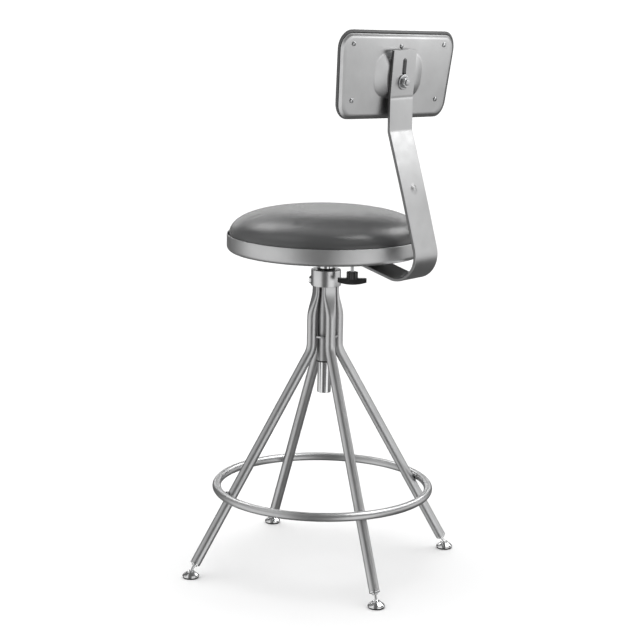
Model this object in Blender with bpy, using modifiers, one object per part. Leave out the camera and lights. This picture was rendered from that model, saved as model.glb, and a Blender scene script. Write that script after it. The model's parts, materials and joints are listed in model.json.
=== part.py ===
"""Adjustable swivel stool: a splayed four-leg tube base with a foot ring, a sliding post, a round
upholstered seat on a swivel, and a padded backrest on a bent flat bar.

Metres, +Z up. The origin is on the floor, on the swivel axis. The seat faces -Y and the backrest is at +Y.
"""

import math

import bmesh
import bpy
from mathutils import Matrix, Vector

GAP = 0.0003  # between two pieces that touch

# Base: four tubes flattened round a guide sleeve, splayed below a bend, with a ring welded outside them
LEG_COUNT = 4
LEG_RADIUS = 0.009525
LEG_WALL = 0.0016
LEG_SIDES = 12
LEG_SPLAY = math.radians(30)
LEG_BEND_RADIUS = 0.045
LEG_PARALLEL_R = 0.026
LEG_FLAT_R = 0.01895
LEG_FLAT_HALF_WIDTH = 0.01225
LEG_FLAT_HALF_DEPTH = 0.00375
LEG_TOP = 0.566
LEG_FLAT_BOTTOM = 0.530
LEG_ROUND_TOP = 0.478
BASE_TURN = math.radians(63.5)
RING_RADIUS = 0.1998
RING_TUBE = 0.00795
RING_HEIGHT = 0.1525

# Self-levelling glides: a ball at the end of each leg's axis in a pad that stays flat on the floor
BALL_R = 0.261
BALL_HEIGHT = 0.011
BALL_RADIUS = 0.004
LEG_END_TO_BALL = 0.019
PAD_RADIUS = 0.0155
SOLE_THICKNESS = 0.0025

# Collar, guide sleeve and post on the swivel axis
COLLAR_RADIUS = 0.0277
COLLAR_WALL = 0.0024
COLLAR_BOTTOM = 0.538
COLLAR_TOP = 0.5685
SLEEVE_RADIUS = 0.01485
SLEEVE_BORE = 0.0137
SLEEVE_BOTTOM = 0.3965
BUSH_BORE = 0.0129
BUSH_SPIGOT = 0.01345
POST_RADIUS = 0.0127
POST_BOTTOM = 0.335
SPACER_HEIGHT = 0.443
LOCK_HEIGHT = 0.5455
LOCK_RADIUS = 0.003
LOCK_AZIMUTH = BASE_TURN + math.radians(225)

# Swivel and seat
BEARING_RADIUS = 0.030
BEARING_BOTTOM = 0.5885
SWIVEL_PLATE_BOTTOM = 0.5992
SEAT_RADIUS = 0.184
SEAT_BOTTOM = 0.603
RIM_TOP = 0.634
RIM_CORNER = 0.009
PAN_WALL = 0.002
BOARD_RADIUS = 0.174
BOARD_THICKNESS = 0.0127
CUSHION_RADIUS = 0.1785
SEAT_TOP = 0.682
SEAT_SCREW_PLACES = [(0.042, 0.036), (-0.042, 0.036), (-0.042, -0.036), (0.042, -0.036)]

# Backrest bar: a flat strip bent in the YZ plane, measured on its outer (lower and rear) face
BAR_WIDTH = 0.0635
BAR_THICKNESS = 0.0055
BAR_LEAN = math.radians(4.5)
BAR_INNER_END = (0.033, 0.593)
BAR_TAIL_BEND = (0.1036, 0.593)
BAR_U_CORNER = (0.2560, 0.5557)
BAR_U_RADIUS = 0.0470
BAR_SET = (0.2046, 0.7263)
BAR_TOP_BEND = (0.1690, 0.8372)
BAR_CREASE = (0.1689, 0.8952)
BAR_TOP_LENGTH = 0.0833
CLAMP_Y = 0.0634
CLAMP_SCREW_RADIUS = 0.0032
WING_AZIMUTH = math.radians(131)
GUIDE_START = 0.045
GUIDE_END = 0.082

# Backrest pad, in its own frame: x across, v up the bar, w out of the back, from the stud's axis
STUD_UP_BAR = 0.0274
STUD_RADIUS = 0.005
SLOT_TRAVEL = 0.036
PAD_ROLL = math.radians(2.25)  # how far the pad is turned on its stud
PAD_RISE = 0.0111
PAD_CURVE = 0.30
PANEL_SIZE = (0.1587, 0.1449, 0.0731, 0.0265, -0.0029)
BACK_BOARD_SIZE = (0.1485, 0.1352, 0.0600, 0.0215, 0)
BACK_CUSHION_SIZE = (0.1648, 0.1514, 0.0776, 0.0310, -0.0008)
BOSS_SIZE = (0.0665, 0.0425)
BOSS_CROWN = (0.0400, 0.0290)
BOSS_HEIGHT = 0.0064
BEVEL_WIDTH = 0.0058
BEVEL_DEPTH = 0.0026
PANEL_SHEET = 0.0015
BACK_SCREW_PLACES = {
    "back_screw_upper_right": (0.1270, 0.0640),
    "back_screw_upper_left": (-0.1240, 0.0640),
    "back_screw_lower_left": (-0.1152, -0.0333),
    "back_screw_lower_right": (0.1182, -0.0333),
    "back_screw_top": (0.0, 0.0606),
}


def clear_scene():
    for obj in list(bpy.data.objects):
        bpy.data.objects.remove(obj, do_unlink=True)
    for collection in list(bpy.data.collections):
        bpy.data.collections.remove(collection)


def new_collection(name):
    collection = bpy.data.collections.new(name)
    bpy.context.scene.collection.children.link(collection)
    return collection


clear_scene()
PARTS = new_collection("adjustable_swivel_stool")
CUTTERS = new_collection("cutters")


def material(name, colour, roughness, metallic):
    made = bpy.data.materials.new(name)
    made.use_nodes = True
    shader = made.node_tree.nodes["Principled BSDF"]
    shader.inputs["Base Color"].default_value = (*colour, 1.0)
    shader.inputs["Roughness"].default_value = roughness
    shader.inputs["Metallic"].default_value = metallic
    return made


def steel(name):
    return material(name, (0.45,) * 3, 0.35, 0.9)


def chrome(name):
    return material(name, (0.8,) * 3, 0.1, 1.0)


def black_plastic(name):
    return material(name, (0.015,) * 3, 0.35, 0.0)


def vinyl(name):
    return material(name, (0.07,) * 3, 0.4, 0.0)


def plywood(name):
    return material(name, (0.5, 0.33, 0.18), 0.6, 0.0)


# Making, placing and cutting solids


def joint_empty(name, location, rotation=(0, 0, 0)):
    """An empty on a joint's axis, which carries the pieces that the joint moves."""
    empty = bpy.data.objects.new(name, None)
    empty.location = location
    empty.rotation_euler = rotation
    empty.empty_display_size = 0.03
    PARTS.objects.link(empty)
    return empty


def add_part(name, mesh, look, parent=None, location=(0, 0, 0), rotation=(0, 0, 0)):
    """A named part at a place given in its parent's frame."""
    part = bpy.data.objects.new(name, mesh)
    mesh.materials.clear()
    mesh.materials.append(look(name + "_finish"))
    part.location = location
    part.rotation_euler = rotation
    part.parent = parent
    PARTS.objects.link(part)
    return part


def mesh_from(name, bm, sharp=35):
    bmesh.ops.recalc_face_normals(bm, faces=bm.faces)
    mesh = bpy.data.meshes.new(name)
    bm.to_mesh(mesh)
    bm.free()
    mesh.shade_smooth()
    mesh.set_sharp_from_angle(angle=math.radians(sharp))
    return mesh


def turned(name, profile, look, steps=24, closed=False, **place):
    """A profile of (radius, height) points turned about Z. It runs down its outer side."""
    bm = bmesh.new()
    points = [bm.verts.new((radius, 0, height)) for radius, height in profile]
    for first, second in zip(points, points[1:]):
        bm.edges.new((first, second))
    if closed:
        bm.edges.new((points[-1], points[0]))
    mesh = bpy.data.meshes.new(name)
    bm.to_mesh(mesh)
    bm.free()
    part = add_part(name, mesh, look, **place)
    screw = part.modifiers.new("turn", "SCREW")
    screw.steps = steps
    screw.render_steps = steps
    screw.use_merge_vertices = True
    screw.merge_threshold = 0.00001
    screw.use_smooth_shade = True
    return part


def disc_profile(radius, bottom, top):
    return [(0, top), (radius, top), (radius, bottom), (0, bottom)]


def tube_profile(inner, outer, bottom, top):
    return [(inner, top), (outer, top), (outer, bottom), (inner, bottom)]


def circle_points(radius, centre=(0, 0), count=32, flute=0.0, flutes=0):
    points = []
    for i in range(count):
        angle = 2 * math.pi * i / count
        reach = radius + flute * math.cos(flutes * angle)
        points.append((centre[0] + reach * math.cos(angle), centre[1] + reach * math.sin(angle)))
    return points


def rounded_box_points(low, high, radius, steps=4):
    corners = [(high[0], high[1], 0), (low[0], high[1], 90), (low[0], low[1], 180), (high[0], low[1], 270)]
    points = []
    for x, y, start in corners:
        centre_x = x - math.copysign(radius, x - (low[0] + high[0]) / 2)
        centre_y = y - math.copysign(radius, y - (low[1] + high[1]) / 2)
        for i in range(steps + 1):
            angle = math.radians(start + 90 * i / steps)
            points.append((centre_x + radius * math.cos(angle), centre_y + radius * math.sin(angle)))
    return points


def outline_mesh(name, loops, thickness, turn=Matrix.Identity(4)):
    """A flat outline with any holes as further loops, extruded both ways from its own XY plane."""
    curve = bpy.data.curves.new(name, "CURVE")
    curve.dimensions = "2D"
    curve.fill_mode = "BOTH"
    curve.extrude = thickness / 2
    for loop in loops:
        spline = curve.splines.new("POLY")
        spline.points.add(len(loop) - 1)
        for point, (x, y) in zip(spline.points, loop):
            point.co = (x, y, 0, 1)
        spline.use_cyclic_u = True
    holder = bpy.data.objects.new(name, curve)
    bpy.context.scene.collection.objects.link(holder)
    depsgraph = bpy.context.evaluated_depsgraph_get()
    mesh = bpy.data.meshes.new_from_object(holder.evaluated_get(depsgraph))
    bpy.data.objects.remove(holder)
    bpy.data.curves.remove(curve)
    bm = bmesh.new()
    bm.from_mesh(mesh)
    bpy.data.meshes.remove(mesh)
    bmesh.ops.remove_doubles(bm, verts=bm.verts, dist=0.00001)
    bmesh.ops.transform(bm, matrix=turn, verts=bm.verts)
    return mesh_from(name, bm)


def plate(name, loops, bottom, top, look, **place):
    """A flat plate between two heights."""
    lift = Matrix.Translation((0, 0, (bottom + top) / 2))
    return add_part(name, outline_mesh(name, loops, top - bottom, lift), look, **place)


def modify_boolean(part, tool, operation):
    cutter = part.modifiers.new(tool.name, "BOOLEAN")
    cutter.operation = operation
    cutter.object = tool
    cutter.solver = "EXACT"


def tool_object(name, mesh, parent=None):
    tool = bpy.data.objects.new(name, mesh)
    tool.parent = parent
    tool.hide_render = True
    tool.display_type = "WIRE"
    CUTTERS.objects.link(tool)
    return tool


def rod_tool(name, radius, start, end, sides=10, parent=None):
    """A cylinder between two points, for cutting."""
    start = Vector(start)
    end = Vector(end)
    along = end - start
    bm = bmesh.new()
    place = Matrix.Translation((start + end) / 2) @ along.to_track_quat("Z", "Y").to_matrix().to_4x4()
    bmesh.ops.create_cone(
        bm, cap_ends=True, segments=sides, radius1=radius, radius2=radius, depth=along.length, matrix=place
    )
    return tool_object(name, mesh_from(name, bm), parent)


def drill(part, radius, start, end, parent=None):
    tool = rod_tool(f"{part.name}_bore_{len(part.modifiers)}", radius, start, end, parent=parent)
    modify_boolean(part, tool, "DIFFERENCE")


def loft(name, rings, look, ends="fans", sharp=35, **place):
    """Skin over rings of equal length. Fans close each end, or the last ring joins the first."""
    bm = bmesh.new()
    loops = [[bm.verts.new(point) for point in ring] for ring in rings]
    pairs = list(zip(loops, loops[1:]))
    if ends == "joined":
        pairs.append((loops[-1], loops[0]))
    for lower, upper in pairs:
        for i in range(len(lower)):
            j = (i + 1) % len(lower)
            bm.faces.new((lower[i], lower[j], upper[j], upper[i]))
    if ends == "fans":
        bm.faces.new(loops[0])
        bm.faces.new(loops[-1])
        caps = [face for face in bm.faces if len(face.verts) > 4]
        bmesh.ops.poke(bm, faces=caps)
    return add_part(name, mesh_from(name, bm, sharp), look, **place)


# Base


def leg_stations():
    """Centre, direction and half sizes of the leg's section, from its foot to its top, in the XZ plane."""
    foot = Vector((BALL_R, BALL_HEIGHT))
    up_leg = Vector((-math.sin(LEG_SPLAY), math.cos(LEG_SPLAY)))
    to_bend = (BALL_R - LEG_PARALLEL_R) / math.sin(LEG_SPLAY)
    corner = foot + up_leg * to_bend
    run = LEG_BEND_RADIUS * math.tan(LEG_SPLAY / 2)
    centre = Vector((LEG_PARALLEL_R + LEG_BEND_RADIUS, corner.y + run))
    rounded = (LEG_RADIUS, LEG_RADIUS)
    stations = [(foot + up_leg * LEG_END_TO_BALL, LEG_SPLAY, rounded)]
    bend_steps = 4
    for i in range(bend_steps + 1):
        lean = LEG_SPLAY * (1 - i / bend_steps)
        point = centre - Vector((math.cos(lean), math.sin(lean))) * LEG_BEND_RADIUS
        stations.append((point, lean, rounded))
    squeeze_steps = 4
    for i in range(squeeze_steps + 1):
        share = i / squeeze_steps
        ease = share * share * (3 - 2 * share)
        point = Vector((
            LEG_PARALLEL_R + (LEG_FLAT_R - LEG_PARALLEL_R) * ease,
            LEG_ROUND_TOP + (LEG_FLAT_BOTTOM - LEG_ROUND_TOP) * share,
        ))
        half_width = LEG_RADIUS + (LEG_FLAT_HALF_WIDTH - LEG_RADIUS) * ease
        half_depth = LEG_RADIUS + (LEG_FLAT_HALF_DEPTH - LEG_RADIUS) * ease
        stations.append((point, 0.0, (half_width, half_depth)))
    top = Vector((LEG_FLAT_R, LEG_TOP))
    stations.append((top, 0.0, (LEG_FLAT_HALF_WIDTH, LEG_FLAT_HALF_DEPTH)))
    return stations


def leg_ring(station, inset):
    """A round or flat-sided section of the tube, with its flat sides square to the radius."""
    point, lean, (half_width, half_depth) = station
    end_radius = half_depth - inset
    straight = half_width - half_depth
    ring = []
    for i in range(LEG_SIDES):
        angle = 2 * math.pi * (i + 0.5) / LEG_SIDES
        across = math.copysign(straight, math.cos(angle)) + end_radius * math.cos(angle)
        out = end_radius * math.sin(angle)
        ring.append((point.x + out * math.cos(lean), across, point.y + out * math.sin(lean)))
    return ring


def make_legs():
    stations = leg_stations()
    outer = [leg_ring(station, 0) for station in stations]
    inner = [leg_ring(station, LEG_WALL) for station in reversed(stations)]
    for i in range(LEG_COUNT):
        turn = (0, 0, BASE_TURN + i * math.tau / LEG_COUNT)
        loft(f"leg_{i + 1}", outer + inner, steel, ends="joined", rotation=turn)


def make_foot_ring():
    bpy.ops.mesh.primitive_torus_add(
        major_radius=RING_RADIUS, minor_radius=RING_TUBE, major_segments=56, minor_segments=10
    )
    made = bpy.context.active_object
    mesh = made.data
    bpy.data.objects.remove(made)
    mesh.shade_smooth()
    add_part("foot_ring", mesh, steel, location=(0, 0, RING_HEIGHT))


def make_glide(i):
    """A plug in the leg's end, a ball stem under it, and a pad and sole that tilt about the ball."""
    azimuth = BASE_TURN + i * math.tau / LEG_COUNT
    out = Vector((math.cos(azimuth), math.sin(azimuth), 0))
    ball = out * BALL_R + Vector((0, 0, BALL_HEIGHT))
    up_leg = Vector((0, 0, math.cos(LEG_SPLAY))) - out * math.sin(LEG_SPLAY)
    leg_end = ball + up_leg * LEG_END_TO_BALL
    along_leg = (0, -LEG_SPLAY, azimuth)
    flange = 0.003
    spigot_radius = 0.0074
    plug = [(0, 0.012), (0.0066, 0.012), (spigot_radius, 0.0105), (spigot_radius, -GAP), (LEG_RADIUS, -GAP)]
    plug += [(LEG_RADIUS, -flange * 0.6), (LEG_RADIUS - 0.0015, -GAP - flange), (0, -GAP - flange)]
    turned(f"leg_plug_{i + 1}", plug, chrome, steps=12, location=leg_end, rotation=along_leg)

    nut_top = -flange - 2 * GAP
    stem_radius = 0.0026
    stem = [(0, nut_top), (0.0055, nut_top), (0.0055, nut_top - 0.0026), (stem_radius, nut_top - 0.0032)]
    start = math.asin(stem_radius / BALL_RADIUS)
    ball_steps = 5
    for step in range(ball_steps + 1):
        angle = start + (math.pi - start) * step / ball_steps
        radius = BALL_RADIUS * math.sin(angle) if step < ball_steps else 0
        stem.append((radius, -LEG_END_TO_BALL + BALL_RADIUS * math.cos(angle)))
    turned(f"glide_stem_{i + 1}", stem, chrome, steps=12, location=leg_end, rotation=along_leg)

    tilt = joint_empty(f"glide_tilt_{i + 1}_axis", ball, (0, 0, azimuth))
    socket_floor = -BALL_RADIUS - 0.0004
    mouth = 0.0016
    base = SOLE_THICKNESS + GAP - BALL_HEIGHT
    pad = [(0, socket_floor), (0.0044, socket_floor), (0.0044, 0), (0.0062, mouth), (0.0070, mouth)]
    pad += [(0.0078, 0), (0.0105, -0.0018), (0.0140, -0.0044), (PAD_RADIUS, -0.0065)]
    pad += [(PAD_RADIUS, base), (0, base)]
    turned(f"glide_pad_{i + 1}", pad, chrome, steps=18, parent=tilt)
    sole = [(0, base - GAP), (0.0145, base - GAP), (0.0145, 0.0006 - BALL_HEIGHT), (0.0139, -BALL_HEIGHT)]
    sole += [(0, -BALL_HEIGHT)]
    turned(f"glide_sole_{i + 1}", sole, black_plastic, steps=18, parent=tilt)


def lock_direction():
    return Vector((math.cos(LOCK_AZIMUTH), math.sin(LOCK_AZIMUTH), 0))


def make_collar():
    """A cap over the flattened leg ends, with the lock screw through its side."""
    inner = COLLAR_RADIUS - COLLAR_WALL
    edge = 0.0008
    cap_under = LEG_TOP + GAP
    hole = SLEEVE_RADIUS + GAP
    profile = [(hole, COLLAR_TOP), (COLLAR_RADIUS - edge, COLLAR_TOP), (COLLAR_RADIUS, COLLAR_TOP - edge)]
    profile += [(COLLAR_RADIUS, COLLAR_BOTTOM + edge), (COLLAR_RADIUS - edge, COLLAR_BOTTOM)]
    profile += [(inner, COLLAR_BOTTOM), (inner, cap_under), (hole, cap_under)]
    collar = turned("collar", profile, chrome, steps=32, closed=True)
    out = lock_direction()
    height = Vector((0, 0, LOCK_HEIGHT))
    drill(collar, LOCK_RADIUS + GAP, out * 0.020 + height, out * 0.035 + height)


def make_sleeve_and_bushes():
    sleeve = turned(
        "guide_sleeve",
        tube_profile(SLEEVE_BORE, SLEEVE_RADIUS, SLEEVE_BOTTOM, COLLAR_TOP),
        steel,
        closed=True,
    )
    out = lock_direction()
    height = Vector((0, 0, LOCK_HEIGHT))
    drill(sleeve, LOCK_RADIUS + GAP, out * 0.010 + height, out * 0.020 + height)

    flange_bottom = COLLAR_TOP + GAP
    flange_top = flange_bottom + 0.0017
    spigot_end = COLLAR_TOP - 0.0115
    top = [(BUSH_BORE, flange_top), (0.0165, flange_top), (0.0165, flange_bottom)]
    top += [(BUSH_SPIGOT, flange_bottom), (BUSH_SPIGOT, spigot_end), (BUSH_BORE, spigot_end)]
    turned("upper_bush", top, black_plastic, closed=True)

    flange_top = SLEEVE_BOTTOM - GAP
    flange_bottom = flange_top - 0.0025
    spigot_top = SLEEVE_BOTTOM + 0.0100
    low = [(BUSH_BORE, spigot_top), (BUSH_SPIGOT, spigot_top), (BUSH_SPIGOT, flange_top)]
    low += [(SLEEVE_RADIUS, flange_top), (SLEEVE_RADIUS, flange_bottom), (BUSH_BORE, flange_bottom)]
    turned("lower_bush", low, black_plastic, closed=True)


def make_spacer_plate():
    """A plate round the sleeve, notched for the four legs."""
    notch = LEG_RADIUS + 3 * GAP
    widest = 0.0240
    half_notch = math.asin(notch / LEG_PARALLEL_R)
    points = []
    count = 64
    for i in range(count):
        angle = math.tau * i / count
        off_leg = (angle + math.tau / 8) % (math.tau / 4) - math.tau / 8
        reach = widest
        if abs(off_leg) < half_notch:
            across = LEG_PARALLEL_R * math.sin(off_leg)
            reach = LEG_PARALLEL_R * math.cos(off_leg) - math.sqrt(notch * notch - across * across)
        points.append((min(reach, widest) * math.cos(angle), min(reach, widest) * math.sin(angle)))
    hole = circle_points(SLEEVE_RADIUS + GAP)
    half = 0.0015
    plate(
        "spacer_plate",
        [points, hole],
        SPACER_HEIGHT - half,
        SPACER_HEIGHT + half,
        steel,
        rotation=(0, 0, BASE_TURN),
    )


def make_lock_screw():
    """A hex-headed screw whose point presses on the post. Its own Z runs outwards along its axis."""
    out = lock_direction()
    head_start = COLLAR_RADIUS + GAP
    head_height = 0.0042
    hub = joint_empty(
        "lock_screw_axis",
        out * head_start + Vector((0, 0, LOCK_HEIGHT)),
        (0, math.pi / 2, LOCK_AZIMUTH),
    )
    tip = POST_RADIUS + GAP
    bm = bmesh.new()
    head = Matrix.Translation((0, 0, head_height / 2))
    bmesh.ops.create_cone(
        bm, cap_ends=True, segments=6, radius1=0.0075, radius2=0.0075, depth=head_height, matrix=head
    )
    screw = add_part("lock_screw", mesh_from("lock_screw", bm), chrome, parent=hub)
    shank = rod_tool("lock_screw_shank", LOCK_RADIUS, (0, 0, tip - head_start), (0, 0, 0.002), parent=hub)
    modify_boolean(screw, shank, "UNION")


# Post and swivel


def make_post(lift):
    chamfer = 0.0015
    top = BEARING_BOTTOM - GAP
    profile = [(0, top), (POST_RADIUS, top), (POST_RADIUS, POST_BOTTOM + chamfer)]
    profile += [(POST_RADIUS - chamfer, POST_BOTTOM), (0, POST_BOTTOM)]
    turned("post", profile, chrome, parent=lift)
    disc_top = BEARING_BOTTOM + 0.0037
    disc = disc_profile(BEARING_RADIUS, BEARING_BOTTOM, disc_top)
    turned("bearing_disc", disc, steel, parent=lift)
    race = tube_profile(0.016, 0.028, disc_top + GAP, SWIVEL_PLATE_BOTTOM - GAP)
    turned("thrust_washer", race, black_plastic, closed=True, parent=lift)
    pin_top = SEAT_BOTTOM - 2 * GAP
    pin_radius = 0.0055
    pin = [(0, pin_top), (pin_radius - 0.0005, pin_top), (pin_radius, pin_top - 0.0005)]
    pin += [(pin_radius, disc_top + GAP), (0, disc_top + GAP)]
    turned("swivel_pin", pin, chrome, steps=16, parent=lift)


def screw_profile(head_radius, head_height, shank_radius, length):
    """A domed screw whose head stands on Z = 0 and whose shank runs down."""
    dome = [(0, 1), (0.55, 0.88), (0.88, 0.5), (1, 0)]
    profile = [(head_radius * across, head_height * up) for across, up in dome]
    return profile + [(shank_radius, 0), (shank_radius, -length), (0, -length)]


def make_swivel_plate(swivel):
    corners = rounded_box_points((-0.050, -0.050), (0.050, 0.092), 0.006)
    holes = [circle_points(0.0060, count=16)]
    places = SEAT_SCREW_PLACES + [(0.040, CLAMP_Y), (-0.040, CLAMP_Y)]
    holes += [circle_points(0.0022, place, 8) for place in places]
    plate("swivel_plate", [corners] + holes, SWIVEL_PLATE_BOTTOM, SEAT_BOTTOM - GAP, steel, parent=swivel)


def pan_profile():
    """A pressed pan with a round lower corner and a rolled top edge."""
    steps = 3
    inside = SEAT_RADIUS - PAN_WALL
    roll = PAN_WALL / 2
    profile = [(0, SEAT_BOTTOM + PAN_WALL)]
    centre = (SEAT_RADIUS - RIM_CORNER, SEAT_BOTTOM + RIM_CORNER)
    for i in range(steps + 1):
        angle = math.radians(-90 + 90 * i / steps)
        reach = RIM_CORNER - PAN_WALL
        profile.append((centre[0] + reach * math.cos(angle), centre[1] + reach * math.sin(angle)))
    for i in range(steps):
        angle = math.radians(180 - 180 * i / (steps - 1))
        profile.append((inside + roll + roll * math.cos(angle), RIM_TOP - roll + roll * math.sin(angle)))
    for i in range(steps + 1):
        angle = math.radians(-90 * i / steps)
        profile.append((centre[0] + RIM_CORNER * math.cos(angle), centre[1] + RIM_CORNER * math.sin(angle)))
    return profile + [(0, SEAT_BOTTOM)]


def cushion_profile():
    """A full dome: steep sides that roll over to a nearly flat crown."""
    bottom = SEAT_BOTTOM + PAN_WALL + BOARD_THICKNESS + 2 * GAP
    shoulder = RIM_TOP - 0.001
    steps = 8
    dome = []
    for i in range(steps + 1):
        angle = math.pi / 2 * (1 - i / steps)
        radius = CUSHION_RADIUS * math.cos(angle) ** 0.62 if i else 0
        dome.append((radius, shoulder + (SEAT_TOP - shoulder) * math.sin(angle) ** 1.06))
    return dome + [(CUSHION_RADIUS - 0.002, bottom), (0, bottom)]


def make_seat(swivel):
    pan = turned("seat_pan", pan_profile(), steel, steps=48, parent=swivel)
    board_bottom = SEAT_BOTTOM + PAN_WALL + GAP
    board_top = board_bottom + BOARD_THICKNESS
    board = turned(
        "seat_board", disc_profile(BOARD_RADIUS, board_bottom, board_top), plywood, steps=36, parent=swivel
    )
    turned("seat_cushion", cushion_profile(), vinyl, steps=36, parent=swivel)

    places = SEAT_SCREW_PLACES + [(0.040, CLAMP_Y), (-0.040, CLAMP_Y)]
    for x, y in places:
        drill(pan, 0.0022, (x, y, SEAT_BOTTOM - 0.01), (x, y, SEAT_BOTTOM + 0.01))
        drill(board, 0.0022, (x, y, SEAT_BOTTOM - 0.01), (x, y, SEAT_BOTTOM + 0.0125))
    for i, (x, y) in enumerate(SEAT_SCREW_PLACES):
        head = SWIVEL_PLATE_BOTTOM - GAP
        turned(
            f"seat_screw_{i + 1}",
            screw_profile(0.0045, 0.0027, 0.0019, 0.0155),
            chrome,
            steps=12,
            parent=swivel,
            location=(x, y, head),
            rotation=(math.pi, 0, 0),
        )


def make_bar_guide(swivel):
    """A hat-shaped strap that holds the bar under the swivel plate, with a nut for the clamp screw."""
    slide_half = BAR_WIDTH / 2 + 2 * GAP
    wall = 0.0025
    low = BAR_INNER_END[1] - 0.0005
    high = SWIVEL_PLATE_BOTTOM - GAP
    flange = 0.0022
    half = 0.048
    right = [(slide_half + wall, low - wall), (slide_half + wall, high - flange), (half, high - flange)]
    right += [(half, high), (slide_half, high), (slide_half, low)]
    outline = right + [(-x, z) for x, z in reversed(right)]
    middle = (GUIDE_START + GUIDE_END) / 2
    stand_up = Matrix.Translation((0, middle, 0)) @ Matrix.Rotation(math.pi / 2, 4, "X")
    mesh = outline_mesh("bar_guide", [outline], GUIDE_END - GUIDE_START, stand_up)
    guide = add_part("bar_guide", mesh, steel, parent=swivel)
    drill(guide, CLAMP_SCREW_RADIUS + GAP, (0, CLAMP_Y, low - 0.01), (0, CLAMP_Y, low + 0.002))
    for i, x in enumerate((0.040, -0.040)):
        drill(guide, 0.0022, (x, CLAMP_Y, high - 0.01), (x, CLAMP_Y, high + 0.01))
        turned(
            f"guide_screw_{i + 1}",
            screw_profile(0.0042, 0.0026, 0.0019, 0.0178),
            chrome,
            steps=12,
            parent=swivel,
            location=(x, CLAMP_Y, high - flange - GAP),
            rotation=(math.pi, 0, 0),
        )
    nut_top = low - wall - GAP
    hexagon = circle_points(0.0070, (0, CLAMP_Y), 6)
    bore = circle_points(CLAMP_SCREW_RADIUS + GAP, (0, CLAMP_Y), 20)
    plate("clamp_nut", [hexagon, bore], nut_top - 0.0052, nut_top, steel, parent=swivel)


def make_clamp_knob(swivel):
    """A fluted hub with a boat-shaped wing on a screw that presses up on the bar."""
    hub_top = 0.5713
    hub_bottom = 0.5580
    axis = joint_empty("clamp_knob_axis", (0, CLAMP_Y, hub_top))
    axis.parent = swivel
    hub = circle_points(0.0102, count=40, flute=0.0006, flutes=10)
    knob = plate("wing_knob", [hub], hub_bottom - hub_top, 0, black_plastic, parent=axis)
    half_length = 0.0265
    wing_top = 0.5592 - hub_top
    depth = 0.0114
    end_depth = 0.0070
    outline = [(half_length, wing_top), (-half_length, wing_top)]
    steps = 12
    for i in range(steps + 1):
        across = -1 + 2 * i / steps
        fall = end_depth + (depth - end_depth) * (1 - across * across)
        outline.append((half_length * across, wing_top - fall))
    turn_wing = Matrix.Rotation(WING_AZIMUTH, 4, "Z") @ Matrix.Rotation(math.pi / 2, 4, "X")
    wing = tool_object("wing_knob_wing", outline_mesh("wing_knob_wing", [outline], 0.0125, turn_wing), axis)
    modify_boolean(knob, wing, "UNION")
    screw_low = hub_bottom - 0.0040
    drill(knob, CLAMP_SCREW_RADIUS + GAP, (0, 0, screw_low - GAP - hub_top), (0, 0, 0.005), parent=axis)
    high = BAR_INNER_END[1] - GAP - hub_top
    low = screw_low - hub_top
    radius = CLAMP_SCREW_RADIUS
    screw = [(0, high), (radius - 0.001, high), (radius, high - 0.001), (radius, low), (0, low)]
    turned("clamp_screw", screw, chrome, steps=20, parent=axis)


# Backrest


def bar_face_path():
    """Points and directions along the bar's outer face, from its inner end to its top."""
    top = Vector(BAR_CREASE) + Vector((math.sin(BAR_LEAN), math.cos(BAR_LEAN))) * BAR_TOP_LENGTH
    bends = (BAR_INNER_END, BAR_TAIL_BEND, BAR_U_CORNER, BAR_SET, BAR_TOP_BEND, BAR_CREASE, top)
    corners = [Vector(bend) for bend in bends]
    radii = [0, 0.02, BAR_U_RADIUS, 0.12, 0.022, 0.018, 0]
    path = []
    for i, corner in enumerate(corners):
        before = (corner - corners[i - 1]).normalized() if i else (corners[1] - corner).normalized()
        after = (corners[i + 1] - corner).normalized() if i + 1 < len(corners) else before
        turn = before.angle_signed(after, 0.0) if radii[i] else 0.0
        if not radii[i]:
            path.append((corner, before))
            continue
        run = radii[i] * math.tan(abs(turn) / 2)
        start = corner - before * run
        left = Vector((-before.y, before.x))
        side = 1 if before.cross(after) > 0 else -1
        centre = start + left * side * radii[i]
        steps = max(2, round(math.degrees(abs(turn)) / 11))
        for step in range(steps + 1):
            angle = side * abs(turn) * step / steps
            swing = Matrix.Rotation(angle, 2)
            path.append((centre + swing @ (start - centre), swing @ before))
    return path


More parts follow.
